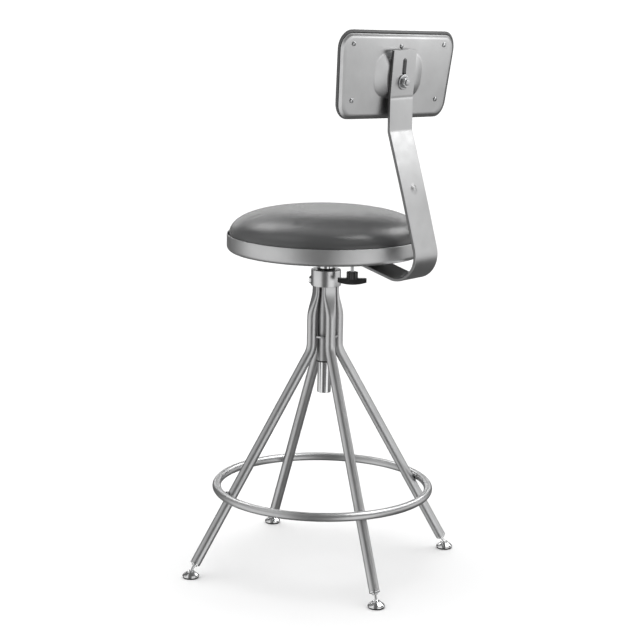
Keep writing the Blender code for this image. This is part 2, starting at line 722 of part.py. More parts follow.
def make_back_bar(slide):
    path = bar_face_path()
    outer = [(point.x, point.y) for point, _ in path]
    inner = []
    for point, along in path:
        inward = Vector((-along.y, along.x)) * BAR_THICKNESS
        inner.append((point.x + inward.x, point.y + inward.y))
    outline = outer + inner[::-1]
    on_side = Matrix(((0, 0, 1, 0), (1, 0, 0, 0), (0, 1, 0, 0), (0, 0, 0, 1)))
    mesh = outline_mesh("back_bar", [outline], BAR_WIDTH, on_side)
    bar = add_part("back_bar", mesh, steel, parent=slide, location=-slide.location)

    up = Vector((0, math.sin(BAR_LEAN), math.cos(BAR_LEAN)))
    out = Vector((0, math.cos(BAR_LEAN), -math.sin(BAR_LEAN)))
    stud = Vector((0, *BAR_CREASE)) + up * STUD_UP_BAR
    half = STUD_RADIUS + 0.0005
    ends = [(half * math.sin(math.pi * i / 8 - math.pi / 2), i) for i in range(9)]
    slot = [(x, SLOT_TRAVEL + half * math.sin(math.pi * i / 8)) for x, i in ends[::-1]]
    slot += [(x, -half * math.sin(math.pi * i / 8)) for x, i in ends]
    frame = Matrix(((1, 0, 0), (0, up.y, -out.y), (0, up.z, -out.z))).to_4x4()
    cutter = outline_mesh("back_bar_slot", [slot], 0.03, Matrix.Translation(stud) @ frame)
    tool = tool_object("back_bar_slot", cutter)
    modify_boolean(bar, tool, "DIFFERENCE")

    along = (Vector((0, *BAR_TOP_BEND)) - Vector((0, *BAR_SET))).normalized()
    place = Vector((0, *BAR_SET)) + along * 0.011
    tilt = along.to_track_quat("Z", "Y").to_matrix().to_4x4()
    bm = bmesh.new()
    squash = Matrix.Diagonal((0.0075, 0.0022, 0.0095, 1))
    bmesh.ops.create_uvsphere(
        bm, u_segments=16, v_segments=10, radius=1, matrix=Matrix.Translation(place) @ tilt @ squash
    )
    modify_boolean(bar, tool_object("back_bar_dimple", mesh_from("back_bar_dimple", bm)), "UNION")


def panel_outline(size, inset=0.0):
    """A rounded trapezium, wider at its top, as (x, v) points with the same count for every size."""
    half_top, half_bottom, half_height, radius, centre = size
    top_x = half_top - inset
    bottom_x = half_bottom - inset
    top = half_height - inset
    radius = max(radius - inset, 0.006)
    slope = math.atan2(top_x - bottom_x, 2 * top)
    corner_steps = 4
    quarter = math.pi / 2
    reach_top = radius / math.tan((quarter - slope) / 2)
    reach_bottom = radius / math.tan((quarter + slope) / 2)
    edge_steps = 7
    side_steps = 4
    right = []
    low_centre = (bottom_x - reach_bottom, radius - top)
    high_centre = (top_x - reach_top, top - radius)
    for i in range(corner_steps + 1):
        angle = -quarter + (quarter - slope) * i / corner_steps
        right.append((low_centre[0] + radius * math.cos(angle), low_centre[1] + radius * math.sin(angle)))
    side_low = Vector(right[-1])
    side_high = Vector((high_centre[0] + radius * math.cos(slope), high_centre[1] - radius * math.sin(slope)))
    right += [tuple(side_low.lerp(side_high, i / side_steps)) for i in range(1, side_steps)]
    for i in range(corner_steps + 1):
        angle = -slope + (quarter + slope) * i / corner_steps
        right.append((high_centre[0] + radius * math.cos(angle), high_centre[1] + radius * math.sin(angle)))
    start, end = right[-1][0], -right[-1][0]
    top_edge = [(start + (end - start) * i / edge_steps, top) for i in range(1, edge_steps)]
    left = [(-x, v) for x, v in reversed(right)]
    start, end = left[-1][0], -left[-1][0]
    bottom_edge = [(start + (end - start) * i / edge_steps, -top) for i in range(1, edge_steps)]
    return [(x, v + PAD_RISE + centre) for x, v in right + top_edge + left + bottom_edge]


def round_loop(outline, half_x, half_v, centre=0.0, squareness=2.0):
    """An ellipse, or a squarer oval, with a point for each point of the outline."""
    points = []
    for x, v in outline:
        angle = math.atan2((v - PAD_RISE) / PANEL_SIZE[2], x / PANEL_SIZE[0])
        across = math.cos(angle)
        upward = math.sin(angle)
        reach = (abs(across) ** squareness + abs(upward) ** squareness) ** (-1 / squareness)
        points.append((half_x * across * reach, centre + half_v * upward * reach))
    return points


def curved_ring(points, depth, curve=PAD_CURVE):
    """Points at a depth in front of the pad's back, bent so that both ends come forward."""
    return [(x, depth - curve * x * x / 2, v) for x, v in points]


def between(first, second, share):
    keep = 1 - share
    return [(keep * a[0] + share * b[0], keep * a[1] + share * b[1]) for a, b in zip(first, second)]


def make_back_panel(pad):
    """A pressed sheet with a bevelled edge and a soft squarish boss that the bar lies on."""
    outline = panel_outline(PANEL_SIZE)
    brim = panel_outline(PANEL_SIZE, BEVEL_WIDTH)
    foot = round_loop(outline, *BOSS_SIZE, PAD_RISE, 2.8)
    crown = round_loop(outline, *BOSS_CROWN, PAD_RISE * 0.6, 2.4)
    hole = round_loop(outline, STUD_RADIUS + 0.0008, STUD_RADIUS + 0.0008)
    field = -BOSS_HEIGHT
    rings = [
        curved_ring(hole, 0, 0),
        curved_ring(crown, 0, 0),
        curved_ring(between(crown, foot, 0.6), field * 0.5, 0.5 * PAD_CURVE),
        curved_ring(foot, field),
        curved_ring(between(foot, brim, 0.5), field),
        curved_ring(brim, field),
        curved_ring(outline, field - BEVEL_DEPTH),
    ]
    sheet = loft("back_panel", rings, steel, ends="open", sharp=50, parent=pad)
    outward = sum((face.normal.y for face in sheet.data.polygons))
    if outward < 0:
        sheet.data.flip_normals()
    thick = sheet.modifiers.new("sheet", "SOLIDIFY")
    thick.thickness = PANEL_SHEET
    thick.offset = -1
    return sheet


def back_board_loops():
    outline = panel_outline(BACK_BOARD_SIZE)
    hole = round_loop(outline, STUD_RADIUS + GAP, STUD_RADIUS + GAP)
    return outline, between(hole, outline, 0.5), hole


def make_back_board(pad):
    outline, middle, hole = back_board_loops()
    rear = -BOSS_HEIGHT - PANEL_SHEET - 2 * GAP
    front = rear - 0.0080
    rings = [curved_ring(ring, depth) for ring, depth in (
        (hole, rear), (middle, rear), (outline, rear), (outline, front), (middle, front), (hole, front)
    )]
    board = loft("back_board", rings, plywood, ends="joined", parent=pad)
    drill(board, 0.0094, (0, front + 0.0027, 0), (0, front - 0.01, 0), parent=pad)
    return board, front


def make_back_cushion(pad, board_front):
    """A crowned pad that stands proud of the panel all round, thin at its edge and domed in front."""
    outline, middle, hole = back_board_loops()
    rear = board_front - 4 * GAP
    edge = -BOSS_HEIGHT - BEVEL_DEPTH
    under = edge - PANEL_SHEET - 3 * GAP
    rings = [
        curved_ring(between(hole, outline, 0.1), rear - 0.0011),
        curved_ring(middle, rear),
        curved_ring(outline, rear),
        curved_ring(panel_outline(BACK_BOARD_SIZE, -0.0018), rear),
        curved_ring(panel_outline(BACK_BOARD_SIZE, -0.0020), under),
        curved_ring(panel_outline(PANEL_SIZE, -0.0010), under),
        curved_ring(panel_outline(PANEL_SIZE, -0.0014), edge),
    ]
    roll = [(0.0006, 0.0001), (0.0002, 0.0008), (0.0, 0.0016), (0.0020, 0.0038), (0.0070, 0.0074)]
    roll += [(0.0140, 0.0112), (0.0240, 0.0154)]
    for inset, depth in roll:
        rings.append(curved_ring(panel_outline(BACK_CUSHION_SIZE, inset), edge - depth))
    rings.append(curved_ring(panel_outline(BACK_CUSHION_SIZE, 0.038), edge - 0.0196))
    rings.append(curved_ring(panel_outline(BACK_CUSHION_SIZE, 0.058), edge - 0.0218))
    loft("back_cushion", rings, vinyl, sharp=60, parent=pad)


def make_back_fasteners(pad, panel, board):
    for name, (x, v) in BACK_SCREW_PLACES.items():
        depth = -BOSS_HEIGHT - PAD_CURVE * x * x / 2
        slant = PAD_CURVE * x
        normal = Vector((math.sin(slant), math.cos(slant), 0))
        seat = Vector((x, depth, v)) + normal * GAP
        for part, radius in ((panel, 0.0022), (board, 0.0022)):
            drill(part, radius, seat + normal * 0.004, seat - normal * 0.0085, parent=pad)
        head_out = (-math.pi / 2, 0, -slant)
        turned(
            name,
            screw_profile(0.0042, 0.0022, 0.0019, 0.0080),
            chrome,
            steps=12,
            parent=pad,
            location=seat,
            rotation=head_out,
        )


def make_back_stud(pad, board_front):
    """A bolt from the board through the bar's slot, with a washer and a nut behind the bar."""
    outwards = (-math.pi / 2, 0, 0)
    end = 0.0172
    shoulder = board_front + 0.0024
    head = [(0, end), (STUD_RADIUS - 0.001, end), (STUD_RADIUS, end - 0.001), (STUD_RADIUS, shoulder)]
    head += [(0.0088, shoulder), (0.0088, board_front + GAP), (0, board_front + GAP)]
    turned("back_stud", head, chrome, steps=16, parent=pad, rotation=outwards)
    washer_low = BAR_THICKNESS + 2 * GAP
    washer_high = washer_low + 0.0018
    ring = tube_profile(STUD_RADIUS + GAP, 0.0135, washer_low, washer_high)
    turned("back_washer", ring, chrome, steps=24, closed=True, parent=pad, rotation=outwards)
    nut_low = washer_high + GAP
    nut_height = 0.0066
    hexagon = circle_points(0.0098, count=6)
    bore = circle_points(STUD_RADIUS + GAP, count=20)
    lay = Matrix.Rotation(-math.pi / 2, 4, "X") @ Matrix.Translation((0, 0, nut_low + nut_height / 2))
    mesh = outline_mesh("back_nut", [hexagon, bore], nut_height, lay)
    add_part("back_nut", mesh, chrome, parent=pad)


def make_backrest(swivel):
    slide = joint_empty("back_depth_axis", (0, CLAMP_Y, BAR_INNER_END[1]))
    slide.parent = swivel
    make_back_bar(slide)
    up = Vector((0, math.sin(BAR_LEAN), math.cos(BAR_LEAN)))
    out = Vector((0, math.cos(BAR_LEAN), -math.sin(BAR_LEAN)))
    origin = Vector((0, *BAR_CREASE)) + up * STUD_UP_BAR - out * (BAR_THICKNESS + GAP)
    pad = joint_empty("back_height_axis", origin - slide.location, (-BAR_LEAN, -PAD_ROLL, 0))
    pad.rotation_mode = "YXZ"
    pad.parent = slide
    panel = make_back_panel(pad)
    board, board_front = make_back_board(pad)
    make_back_cushion(pad, board_front)
    make_back_fasteners(pad, panel, board)
    make_back_stud(pad, board_front)


def build():
    make_legs()
    make_foot_ring()
    for i in range(LEG_COUNT):
        make_glide(i)
    make_collar()
    make_sleeve_and_bushes()
    make_spacer_plate()
    make_lock_screw()
    lift = joint_empty("post_lift_axis", (0, 0, 0))
    make_post(lift)
    swivel = joint_empty("seat_swivel_axis", (0, 0, 0))
    swivel.parent = lift
    make_swivel_plate(swivel)
    make_seat(swivel)
    make_bar_guide(swivel)
    make_clamp_knob(swivel)
    make_backrest(swivel)
    bpy.context.view_layer.update()


build()
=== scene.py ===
"""Adjustable swivel stool in a pale studio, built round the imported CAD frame.

Metres, +Z up. The origin is on the floor, on the swivel axis; the backrest is at +Y.
"""

import json
from math import asin, atan2, copysign, cos, degrees, hypot, pi, radians, sin, sqrt, tan, tau

import bmesh
import bpy
from mathutils import Matrix, Vector


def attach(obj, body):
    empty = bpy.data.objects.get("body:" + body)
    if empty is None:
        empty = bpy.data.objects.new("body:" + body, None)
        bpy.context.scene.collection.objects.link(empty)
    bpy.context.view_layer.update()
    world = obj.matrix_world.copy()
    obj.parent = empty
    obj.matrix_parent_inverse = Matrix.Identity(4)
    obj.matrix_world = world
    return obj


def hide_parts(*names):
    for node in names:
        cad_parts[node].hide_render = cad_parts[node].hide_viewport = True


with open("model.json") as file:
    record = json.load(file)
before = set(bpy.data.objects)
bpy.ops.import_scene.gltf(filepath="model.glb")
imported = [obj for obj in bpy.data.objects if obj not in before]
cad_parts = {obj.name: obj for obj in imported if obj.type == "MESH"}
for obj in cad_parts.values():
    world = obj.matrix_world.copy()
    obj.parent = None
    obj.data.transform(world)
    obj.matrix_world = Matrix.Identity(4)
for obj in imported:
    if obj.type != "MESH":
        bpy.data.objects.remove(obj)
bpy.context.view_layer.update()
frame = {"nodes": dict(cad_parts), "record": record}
BODY_OF = {node: body for body, nodes in frame["record"]["behaviour"]["bodies"].items() for node in nodes}
SLOT_OF = {entry["node"]: entry["material_slot"] for entry in frame["record"]["subparts"]}

GAP = 0.0003

LEG_RADIUS = 0.009525
LEG_SPLAY = radians(30)
LEG_BEND_RADIUS = 0.045
LEG_PARALLEL_R = 0.026
LEG_FLAT_R = 0.01895
LEG_FLAT_HALF_WIDTH = 0.01225
LEG_FLAT_HALF_DEPTH = 0.00375
LEG_TOP = 0.566
LEG_FLAT_BOTTOM = 0.530
LEG_ROUND_TOP = 0.478
BASE_TURN = radians(63.5)
RING_RADIUS = 0.1998
RING_TUBE = 0.00795
RING_HEIGHT = 0.1525
BALL_R = 0.261
BALL_HEIGHT = 0.011
BALL_RADIUS = 0.004
LEG_END_TO_BALL = 0.019
PAD_RADIUS = 0.0155
SOLE_THICKNESS = 0.0025

COLLAR_RADIUS = 0.0277
COLLAR_WALL = 0.0024
COLLAR_BOTTOM = 0.538
COLLAR_TOP = 0.5685
SLEEVE_RADIUS = 0.01485
SLEEVE_BORE = 0.0137
SLEEVE_BOTTOM = 0.3965
BUSH_BORE = 0.0129
BUSH_SPIGOT = 0.01345
POST_RADIUS = 0.0127
POST_BOTTOM = 0.335
SPACER_HEIGHT = 0.443
LOCK_HEIGHT = 0.5455
LOCK_RADIUS = 0.003
LOCK_AZIMUTH = BASE_TURN + radians(225)

BEARING_RADIUS = 0.030
BEARING_BOTTOM = 0.5885
SWIVEL_PLATE_BOTTOM = 0.5992
SEAT_RADIUS = 0.184
SEAT_BOTTOM = 0.603
RIM_TOP = 0.634
RIM_CORNER = 0.009
PAN_WALL = 0.002
BOARD_THICKNESS = 0.0127
CUSHION_RADIUS = 0.1785
SEAT_TOP = 0.682
SEAT_SCREW_PLACES = [(0.042, 0.036), (-0.042, 0.036), (-0.042, -0.036), (0.042, -0.036)]

BAR_WIDTH = 0.0635
BAR_THICKNESS = 0.0055
BAR_LEAN = radians(4.5)
BAR_INNER_END = (0.033, 0.593)
BAR_TAIL_BEND = (0.1036, 0.593)
BAR_U_CORNER = (0.2560, 0.5557)
BAR_U_RADIUS = 0.0470
BAR_SET = (0.2046, 0.7263)
BAR_TOP_BEND = (0.1690, 0.8372)
BAR_CREASE = (0.1689, 0.8952)
BAR_TOP_LENGTH = 0.0833
CLAMP_Y = 0.0634
CLAMP_SCREW_RADIUS = 0.0032
GUIDE_START = 0.045
GUIDE_END = 0.082
WING_AZIMUTH = radians(131)

STUD_UP_BAR = 0.0274
STUD_RADIUS = 0.005
SLOT_TRAVEL = 0.036
PAD_ROLL = radians(2.25)
PAD_RISE = 0.0111
PAD_CURVE = 0.30
PANEL_SIZE = (0.1587, 0.1449, 0.0731, 0.0265, -0.0029)
BACK_BOARD_SIZE = (0.1485, 0.1352, 0.0600, 0.0215, 0)
COVER_SIZE = (0.1640, 0.1506, 0.0770, 0.0310, -0.0002)
BOSS_SIZE = (0.0665, 0.0425)
BOSS_CROWN = (0.0400, 0.0290)
BOSS_HEIGHT = 0.0064
BEVEL_WIDTH = 0.0058
BEVEL_DEPTH = 0.0026
PANEL_SHEET = 0.0015
BACK_BOARD_FRONT = -BOSS_HEIGHT - PANEL_SHEET - 2 * GAP - 0.0080
BACK_SCREW_PLACES = {
    "back_screw_upper_right": (0.1270, 0.0640),
    "back_screw_upper_left": (-0.1240, 0.0640),
    "back_screw_lower_left": (-0.1152, -0.0333),
    "back_screw_lower_right": (0.1182, -0.0333),
    "back_screw_top": (0.0, 0.0606),
}

UP_BAR = Vector((0, sin(BAR_LEAN), cos(BAR_LEAN)))
OUT_OF_BAR = Vector((0, cos(BAR_LEAN), -sin(BAR_LEAN)))
STUD_PLACE = Vector((0, *BAR_CREASE)) + UP_BAR * STUD_UP_BAR
PAD_FRAME = (
    Matrix.Translation(STUD_PLACE - OUT_OF_BAR * (BAR_THICKNESS + GAP))
    @ Matrix.Rotation(-BAR_LEAN, 4, "X")
    @ Matrix.Rotation(-PAD_ROLL, 4, "Y")
)


# Materials


class Nodes:
    """A short way to add nodes to a material or a world."""

    def __init__(self, tree):
        self.tree = tree

    def add(self, kind, **inputs):
        node = self.tree.nodes.new("ShaderNode" + kind)
        for key in [key for key in inputs if key.startswith("_")]:
            setattr(node, key[1:], inputs.pop(key))
        for key, value in inputs.items():
            numbered = key.startswith("in") and key[2:].isdigit()
            self.feed(node.inputs[int(key[2:]) if numbered else key], value)
        return node

    def feed(self, socket, value):
        if isinstance(value, bpy.types.NodeSocket):
            self.tree.links.new(value, socket)
        else:
            socket.default_value = value

    def math(self, operation, first, second=0.0, clamp=False):
        node = self.add("Math", _operation=operation, _use_clamp=clamp, in0=first, in1=second)
        return node.outputs[0]

    def between(self, value, low, high, to_low=0.0, to_high=1.0, smooth=False):
        kind = "SMOOTHSTEP" if smooth else "LINEAR"
        node = self.add("MapRange", _interpolation_type=kind, Value=value)
        for key, number in (("From Min", low), ("From Max", high), ("To Min", to_low), ("To Max", to_high)):
            self.feed(node.inputs[key], number)
        return node.outputs[0]

    def noise(self, vector, scale, detail=2.0, rough=0.5):
        node = self.add("TexNoise", Vector=vector, Scale=scale, Detail=detail, Roughness=rough)
        return node.outputs["Fac"]

    def stretch(self, vector, scale):
        return self.add("Mapping", Vector=vector, Scale=scale).outputs[0]

    def ramp(self, value, stops):
        node = self.add("ValToRGB", Fac=value)
        elements = node.color_ramp.elements
        while len(elements) < len(stops):
            elements.new(0.5)
        for element, (place, colour) in zip(elements, stops):
            element.position = place
            element.color = (*colour, 1)
        return node.outputs["Color"]

    def bump(self, height, strength, distance, normal=None):
        node = self.add("Bump", Height=height, Strength=strength, Distance=distance)
        if normal is not None:
            self.feed(node.inputs["Normal"], normal)
        return node.outputs[0]


def grey(value, tint=0.0):
    return (value * (1 - tint), value, value * (1 + tint))


def new_material(name):
    made = bpy.data.materials.new(name)
    made.use_nodes = True
    nodes = Nodes(made.node_tree)
    shader = made.node_tree.nodes["Principled BSDF"]
    place = nodes.add("TexCoord").outputs["Object"]
    return made, nodes, shader, place


def metal(name, dark, light, rough_low, rough_high, metallic=1.0, grain=0.0, peel=0.0, tint=0.004):
    """Plated or painted metal: cloudy tone, smudges in the gloss, and a fine grain or orange peel."""
    made, nodes, shader, place = new_material(name)
    cloud = nodes.noise(place, 14.0, 4.0, 0.55)
    smudge = nodes.noise(place, 55.0, 5.0, 0.62)
    speck = nodes.noise(place, 1400.0, 2.0, 0.6)
    tone = nodes.math("ADD", nodes.math("MULTIPLY", cloud, 0.7), nodes.math("MULTIPLY", speck, 0.3))
    colour = nodes.ramp(tone, [(0.32, grey(dark, tint)), (0.68, grey(light, tint))])
    nodes.feed(shader.inputs["Base Color"], colour)
    shader.inputs["Metallic"].default_value = metallic
    rough = nodes.between(smudge, 0.3, 0.7, rough_low, rough_high)
    nodes.feed(shader.inputs["Roughness"], rough)
    height = None
    if peel:
        height = nodes.bump(nodes.noise(place, 520.0, 2.0, 0.5), peel, 0.0004)
    if grain:
        height = nodes.bump(nodes.noise(place, 2600.0, 2.0, 0.5), grain, 0.0001, height)
    if height is not None:
        nodes.feed(shader.inputs["Normal"], height)
    return made


def leather_cloth(name):
    """Coated fabric: small pebbled cells with finer wrinkles in them, and a soft uneven sheen."""
    made, nodes, shader, place = new_material(name)
    warp = nodes.add("TexNoise", Vector=place, Scale=260.0, Detail=2.0).outputs["Color"]
    reach = (0.0012,) * 3
    shifted = nodes.add("VectorMath", _operation="MULTIPLY_ADD", in0=warp, in1=reach, in2=place).outputs[0]
    cells = nodes.add("TexVoronoi", Vector=shifted, Scale=820.0, _feature="DISTANCE_TO_EDGE")
    pebble = nodes.between(cells.outputs["Distance"], 0.0, 0.28, smooth=True)
    wrinkle = nodes.noise(place, 1900.0, 3.0, 0.6)
    cloud = nodes.noise(place, 9.0, 3.0, 0.5)
    tone = nodes.math("ADD", nodes.math("MULTIPLY", cloud, 0.75), nodes.math("MULTIPLY", pebble, 0.25))
    colour = nodes.ramp(tone, [(0.35, grey(0.056, 0.01)), (0.75, grey(0.066, 0.01))])
    nodes.feed(shader.inputs["Base Color"], colour)
    sheen = nodes.math("ADD", nodes.math("MULTIPLY", wrinkle, 0.3), cloud)
    rough = nodes.between(sheen, 0.4, 0.95, 0.24, 0.28)
    nodes.feed(shader.inputs["Roughness"], rough)
    fine = nodes.bump(wrinkle, 0.10, 0.0002)
    nodes.feed(shader.inputs["Normal"], nodes.bump(pebble, 0.16, 0.0003, fine))
    shader.inputs["Specular IOR Level"].default_value = 0.55
    shader.inputs["Sheen Weight"].default_value = 0.12
    shader.inputs["Sheen Roughness"].default_value = 0.4
    return made


def moulded(name, value, rough_low, rough_high):
    """Moulded plastic or rubber with a fine spark-eroded texture."""
    made, nodes, shader, place = new_material(name)
    texture = nodes.noise(place, 1700.0, 3.0, 0.6)
    cloud = nodes.noise(place, 60.0, 3.0, 0.5)
    colour = nodes.ramp(cloud, [(0.3, grey(value * 0.85)), (0.7, grey(value * 1.25))])
    nodes.feed(shader.inputs["Base Color"], colour)
    nodes.feed(shader.inputs["Roughness"], nodes.between(cloud, 0.3, 0.7, rough_low, rough_high))
    nodes.feed(shader.inputs["Normal"], nodes.bump(texture, 0.16, 0.0002))
    return made


def plywood(name):
    """Thin plies of alternate tone through the thickness, with a streaky face."""
    made, nodes, shader, place = new_material(name)
    streak = nodes.noise(nodes.stretch(place, (220.0, 9.0, 220.0)), 1.0, 4.0, 0.6)
    wave = nodes.add("TexWave", Vector=place, Scale=110.0, Distortion=0.5, _bands_direction="Z")
    plies = wave.outputs["Fac"]
    tone = nodes.math("ADD", nodes.math("MULTIPLY", streak, 0.65), nodes.math("MULTIPLY", plies, 0.35))
    stops = [(0.2, (0.30, 0.17, 0.085)), (0.5, (0.50, 0.33, 0.18)), (0.85, (0.64, 0.47, 0.28))]
    nodes.feed(shader.inputs["Base Color"], nodes.ramp(tone, stops))
    nodes.feed(shader.inputs["Roughness"], nodes.between(streak, 0.2, 0.8, 0.5, 0.75))
    nodes.feed(shader.inputs["Normal"], nodes.bump(streak, 0.3, 0.0003))
    return made


LOOKS = {
    "steel_frame": metal("satin_frame_steel", 0.48, 0.57, 0.34, 0.43, peel=0.05, grain=0.05),
    "steel_seat_pan": metal("satin_pan_steel", 0.47, 0.55, 0.40, 0.48, peel=0.04, grain=0.05),
    "steel_back": metal("satin_back_steel", 0.46, 0.54, 0.30, 0.38, peel=0.05, grain=0.05),
    "bright_metal": metal("bright_chrome", 0.66, 0.78, 0.07, 0.15, grain=0.02),
    "zinc_fasteners": metal("zinc_plate", 0.42, 0.62, 0.24, 0.38, grain=0.08, tint=0.012),
    "hidden_steel": metal("black_oxide_steel", 0.035, 0.07, 0.35, 0.5, metallic=0.6, peel=0.1),
    "black_plastic": moulded("black_plastic_satin", 0.012, 0.28, 0.42),
    "glide_soles": moulded("sole_rubber", 0.02, 0.6, 0.8),
    "seat_vinyl": leather_cloth("seat_cover_grain"),
    "back_vinyl": leather_cloth("back_cover_grain"),
    "plywood": plywood("birch_plywood"),
}
# Painted shade: a darker steel that stands in for the shadow along the bar's thin side faces
PAINTED_SHADE_EDGE = metal("sheared_bar_edge", 0.16, 0.22, 0.4, 0.5, grain=0.1)
COLLAR_STEEL = metal("collar_steel", 0.52, 0.64, 0.26, 0.34, grain=0.03)


# Meshes

def moved(*place):
    return Matrix.Translation(place)


def rotated(angle, axis="Z"):
    return Matrix.Rotation(angle, 4, axis)



def softened(mesh, sharp=38):
    mesh.shade_smooth()
    if sharp:
        mesh.set_sharp_from_angle(angle=radians(sharp))
    return mesh


def shaded(name, bm, sharp=38):
    bmesh.ops.recalc_face_normals(bm, faces=bm.faces)
    mesh = bpy.data.meshes.new(name)
    bm.to_mesh(mesh)
    bm.free()
    return softened(mesh, sharp)


def piece(node, mesh, matrix=None, suffix="detail", stands_for=True):
    """A finished piece that takes a CAD node's place, body and finish."""
    if matrix is not None:
        mesh.transform(matrix)
    obj = bpy.data.objects.new(f"{node}_{suffix}", mesh)
    bpy.context.scene.collection.objects.link(obj)
    mesh.materials.clear()
    mesh.materials.append(LOOKS[SLOT_OF[node]])
    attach(obj, BODY_OF[node])
    if stands_for:
        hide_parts(node)
    return obj


def rounded(points, radii, closed=False, steps=4):
    """A polyline whose corners are arcs. Radii go by the corner's place in the list."""
    made = []
    count = len(points)
    for i, point in enumerate(points):
        radius = radii.get(i, 0) if isinstance(radii, dict) else radii
        inner = closed or 0 < i < count - 1
        if not radius or not inner:
            made.append(tuple(point))
            continue
        here = Vector(point)
        before = Vector(points[i - 1]) - here
        after = Vector(points[(i + 1) % count]) - here
        angle = before.angle(after, pi)
        if angle > pi - 0.02:
            made.append(tuple(point))
            continue
        run = min(radius / tan(angle / 2), before.length * 0.49, after.length * 0.49)
        start = here + before.normalized() * run
        end = here + after.normalized() * run
        for step in range(steps + 1):
            share = step / steps
            a = start.lerp(here, share)
            b = here.lerp(end, share)
            made.append(tuple(a.lerp(b, share)))
    return made


def lathe(name, profile, sides=64, closed=False, sharp=38, flute=None):
    """A profile of (radius, height) points turned about Z."""
    bm = bmesh.new()
    rings = []
    for radius, height in profile:
        if radius < 1e-6:
            rings.append([bm.verts.new((0, 0, height))])
            continue
        ring = []
        for i in range(sides):
            angle = tau * i / sides
            reach = radius + (flute(angle, radius, height) if flute else 0)
            ring.append(bm.verts.new((reach * cos(angle), reach * sin(angle), height)))
        rings.append(ring)
    pairs = list(zip(rings, rings[1:]))
    if closed:
        pairs.append((rings[-1], rings[0]))
    for a, b in pairs:
        for i in range(sides):
            j = (i + 1) % sides
            corners = [a[i % len(a)], a[j % len(a)], b[j % len(b)], b[i % len(b)]]
            unique = list(dict.fromkeys(corners))
            if len(unique) > 2:
                bm.faces.new(unique)
    return shaded(name, bm, sharp)


def skin(name, rings, cyclic=False, caps=True, sharp=38):
    """Quads over rings of equal length, with flat or poked ends."""
    bm = bmesh.new()
    loops = [[bm.verts.new(point) for point in ring] for ring in rings]
    pairs = list(zip(loops, loops[1:]))
    if cyclic:
        pairs.append((loops[-1], loops[0]))
    for a, b in pairs:
        for i in range(len(a)):
            j = (i + 1) % len(a)
            bm.faces.new((a[i], a[j], b[j], b[i]))
    if caps and not cyclic:
        ends = [bm.faces.new(loops[0]), bm.faces.new(loops[-1])]
        bmesh.ops.poke(bm, faces=ends)
    return shaded(name, bm, sharp)


def outline_solid(name, loops, thickness, turn=Matrix.Identity(4)):
    """A flat outline with holes, extruded both ways from its XY plane."""
    curve = bpy.data.curves.new(name, "CURVE")
    curve.dimensions = "2D"
    curve.fill_mode = "BOTH"
    curve.extrude = thickness / 2
    for loop in loops:
        spline = curve.splines.new("POLY")
        spline.points.add(len(loop) - 1)
        for point, (x, y) in zip(spline.points, loop):
            point.co = (x, y, 0, 1)
        spline.use_cyclic_u = True
    holder = bpy.data.objects.new(name, curve)
    bpy.context.scene.collection.objects.link(holder)
    depsgraph = bpy.context.evaluated_depsgraph_get()
    mesh = bpy.data.meshes.new_from_object(holder.evaluated_get(depsgraph))
    bpy.data.objects.remove(holder)
    bpy.data.curves.remove(curve)
    bm = bmesh.new()
    bm.from_mesh(mesh)
    bpy.data.meshes.remove(mesh)
    bmesh.ops.remove_doubles(bm, verts=bm.verts, dist=0.000005)
    bmesh.ops.transform(bm, matrix=turn, verts=bm.verts)
    return shaded(name, bm)


def arc(centre, radius, start, end, steps):
    """Points on an arc from one angle to another, both ends included."""
    points = []
    for i in range(steps + 1):
        angle = start + (end - start) * i / steps
        points.append((centre[0] + radius * cos(angle), centre[1] + radius * sin(angle)))
    return points


def circle(radius, centre=(0, 0), count=48):
    return arc(centre, radius, 0, tau, count)[:-1]


def rod(radius, low, high):
    """The lathe profile of a round bar."""
    return [(0, high), (radius, high), (radius, low), (0, low)]


def band(inner, outer, low, high):
    """The lathe profile of a plain ring or tube."""
    return [(inner, high), (outer, high), (outer, low), (inner, low)]


def baked(mesh, modify):
    """The mesh after modifiers that a function puts on a throwaway object."""
    holder = bpy.data.objects.new("bench", mesh)
    bpy.context.scene.collection.objects.link(holder)
    tools = modify(holder) or []
    depsgraph = bpy.context.evaluated_depsgraph_get()
    result = bpy.data.meshes.new_from_object(holder.evaluated_get(depsgraph))
    for obj in [holder, *tools]:
        spent = obj.data
        bpy.data.objects.remove(obj)
        if spent.users == 0:
            bpy.data.meshes.remove(spent)
    return result


def combine(mesh, tool, operation):
    def modify(holder):
        other = bpy.data.objects.new("tool", tool)
        bpy.context.scene.collection.objects.link(other)
        step = holder.modifiers.new("cut", "BOOLEAN")
        step.operation = operation
        step.object = other
        step.solver = "EXACT"
        return [other]

    return softened(baked(mesh, modify))


def moulded_union(meshes, voxel, smooth):
    """Solids melted into one moulding with soft inner corners."""
    whole = bmesh.new()
    for mesh in meshes:
        whole.from_mesh(mesh)
    mesh = bpy.data.meshes.new("moulding")
    whole.to_mesh(mesh)
    whole.free()

    def modify(holder):
        remesh = holder.modifiers.new("melt", "REMESH")
        remesh.mode = "VOXEL"
        remesh.voxel_size = voxel
        soften = holder.modifiers.new("soften", "SMOOTH")
        soften.factor = 0.5
        soften.iterations = smooth

    return softened(baked(mesh, modify), sharp=None)


# Base


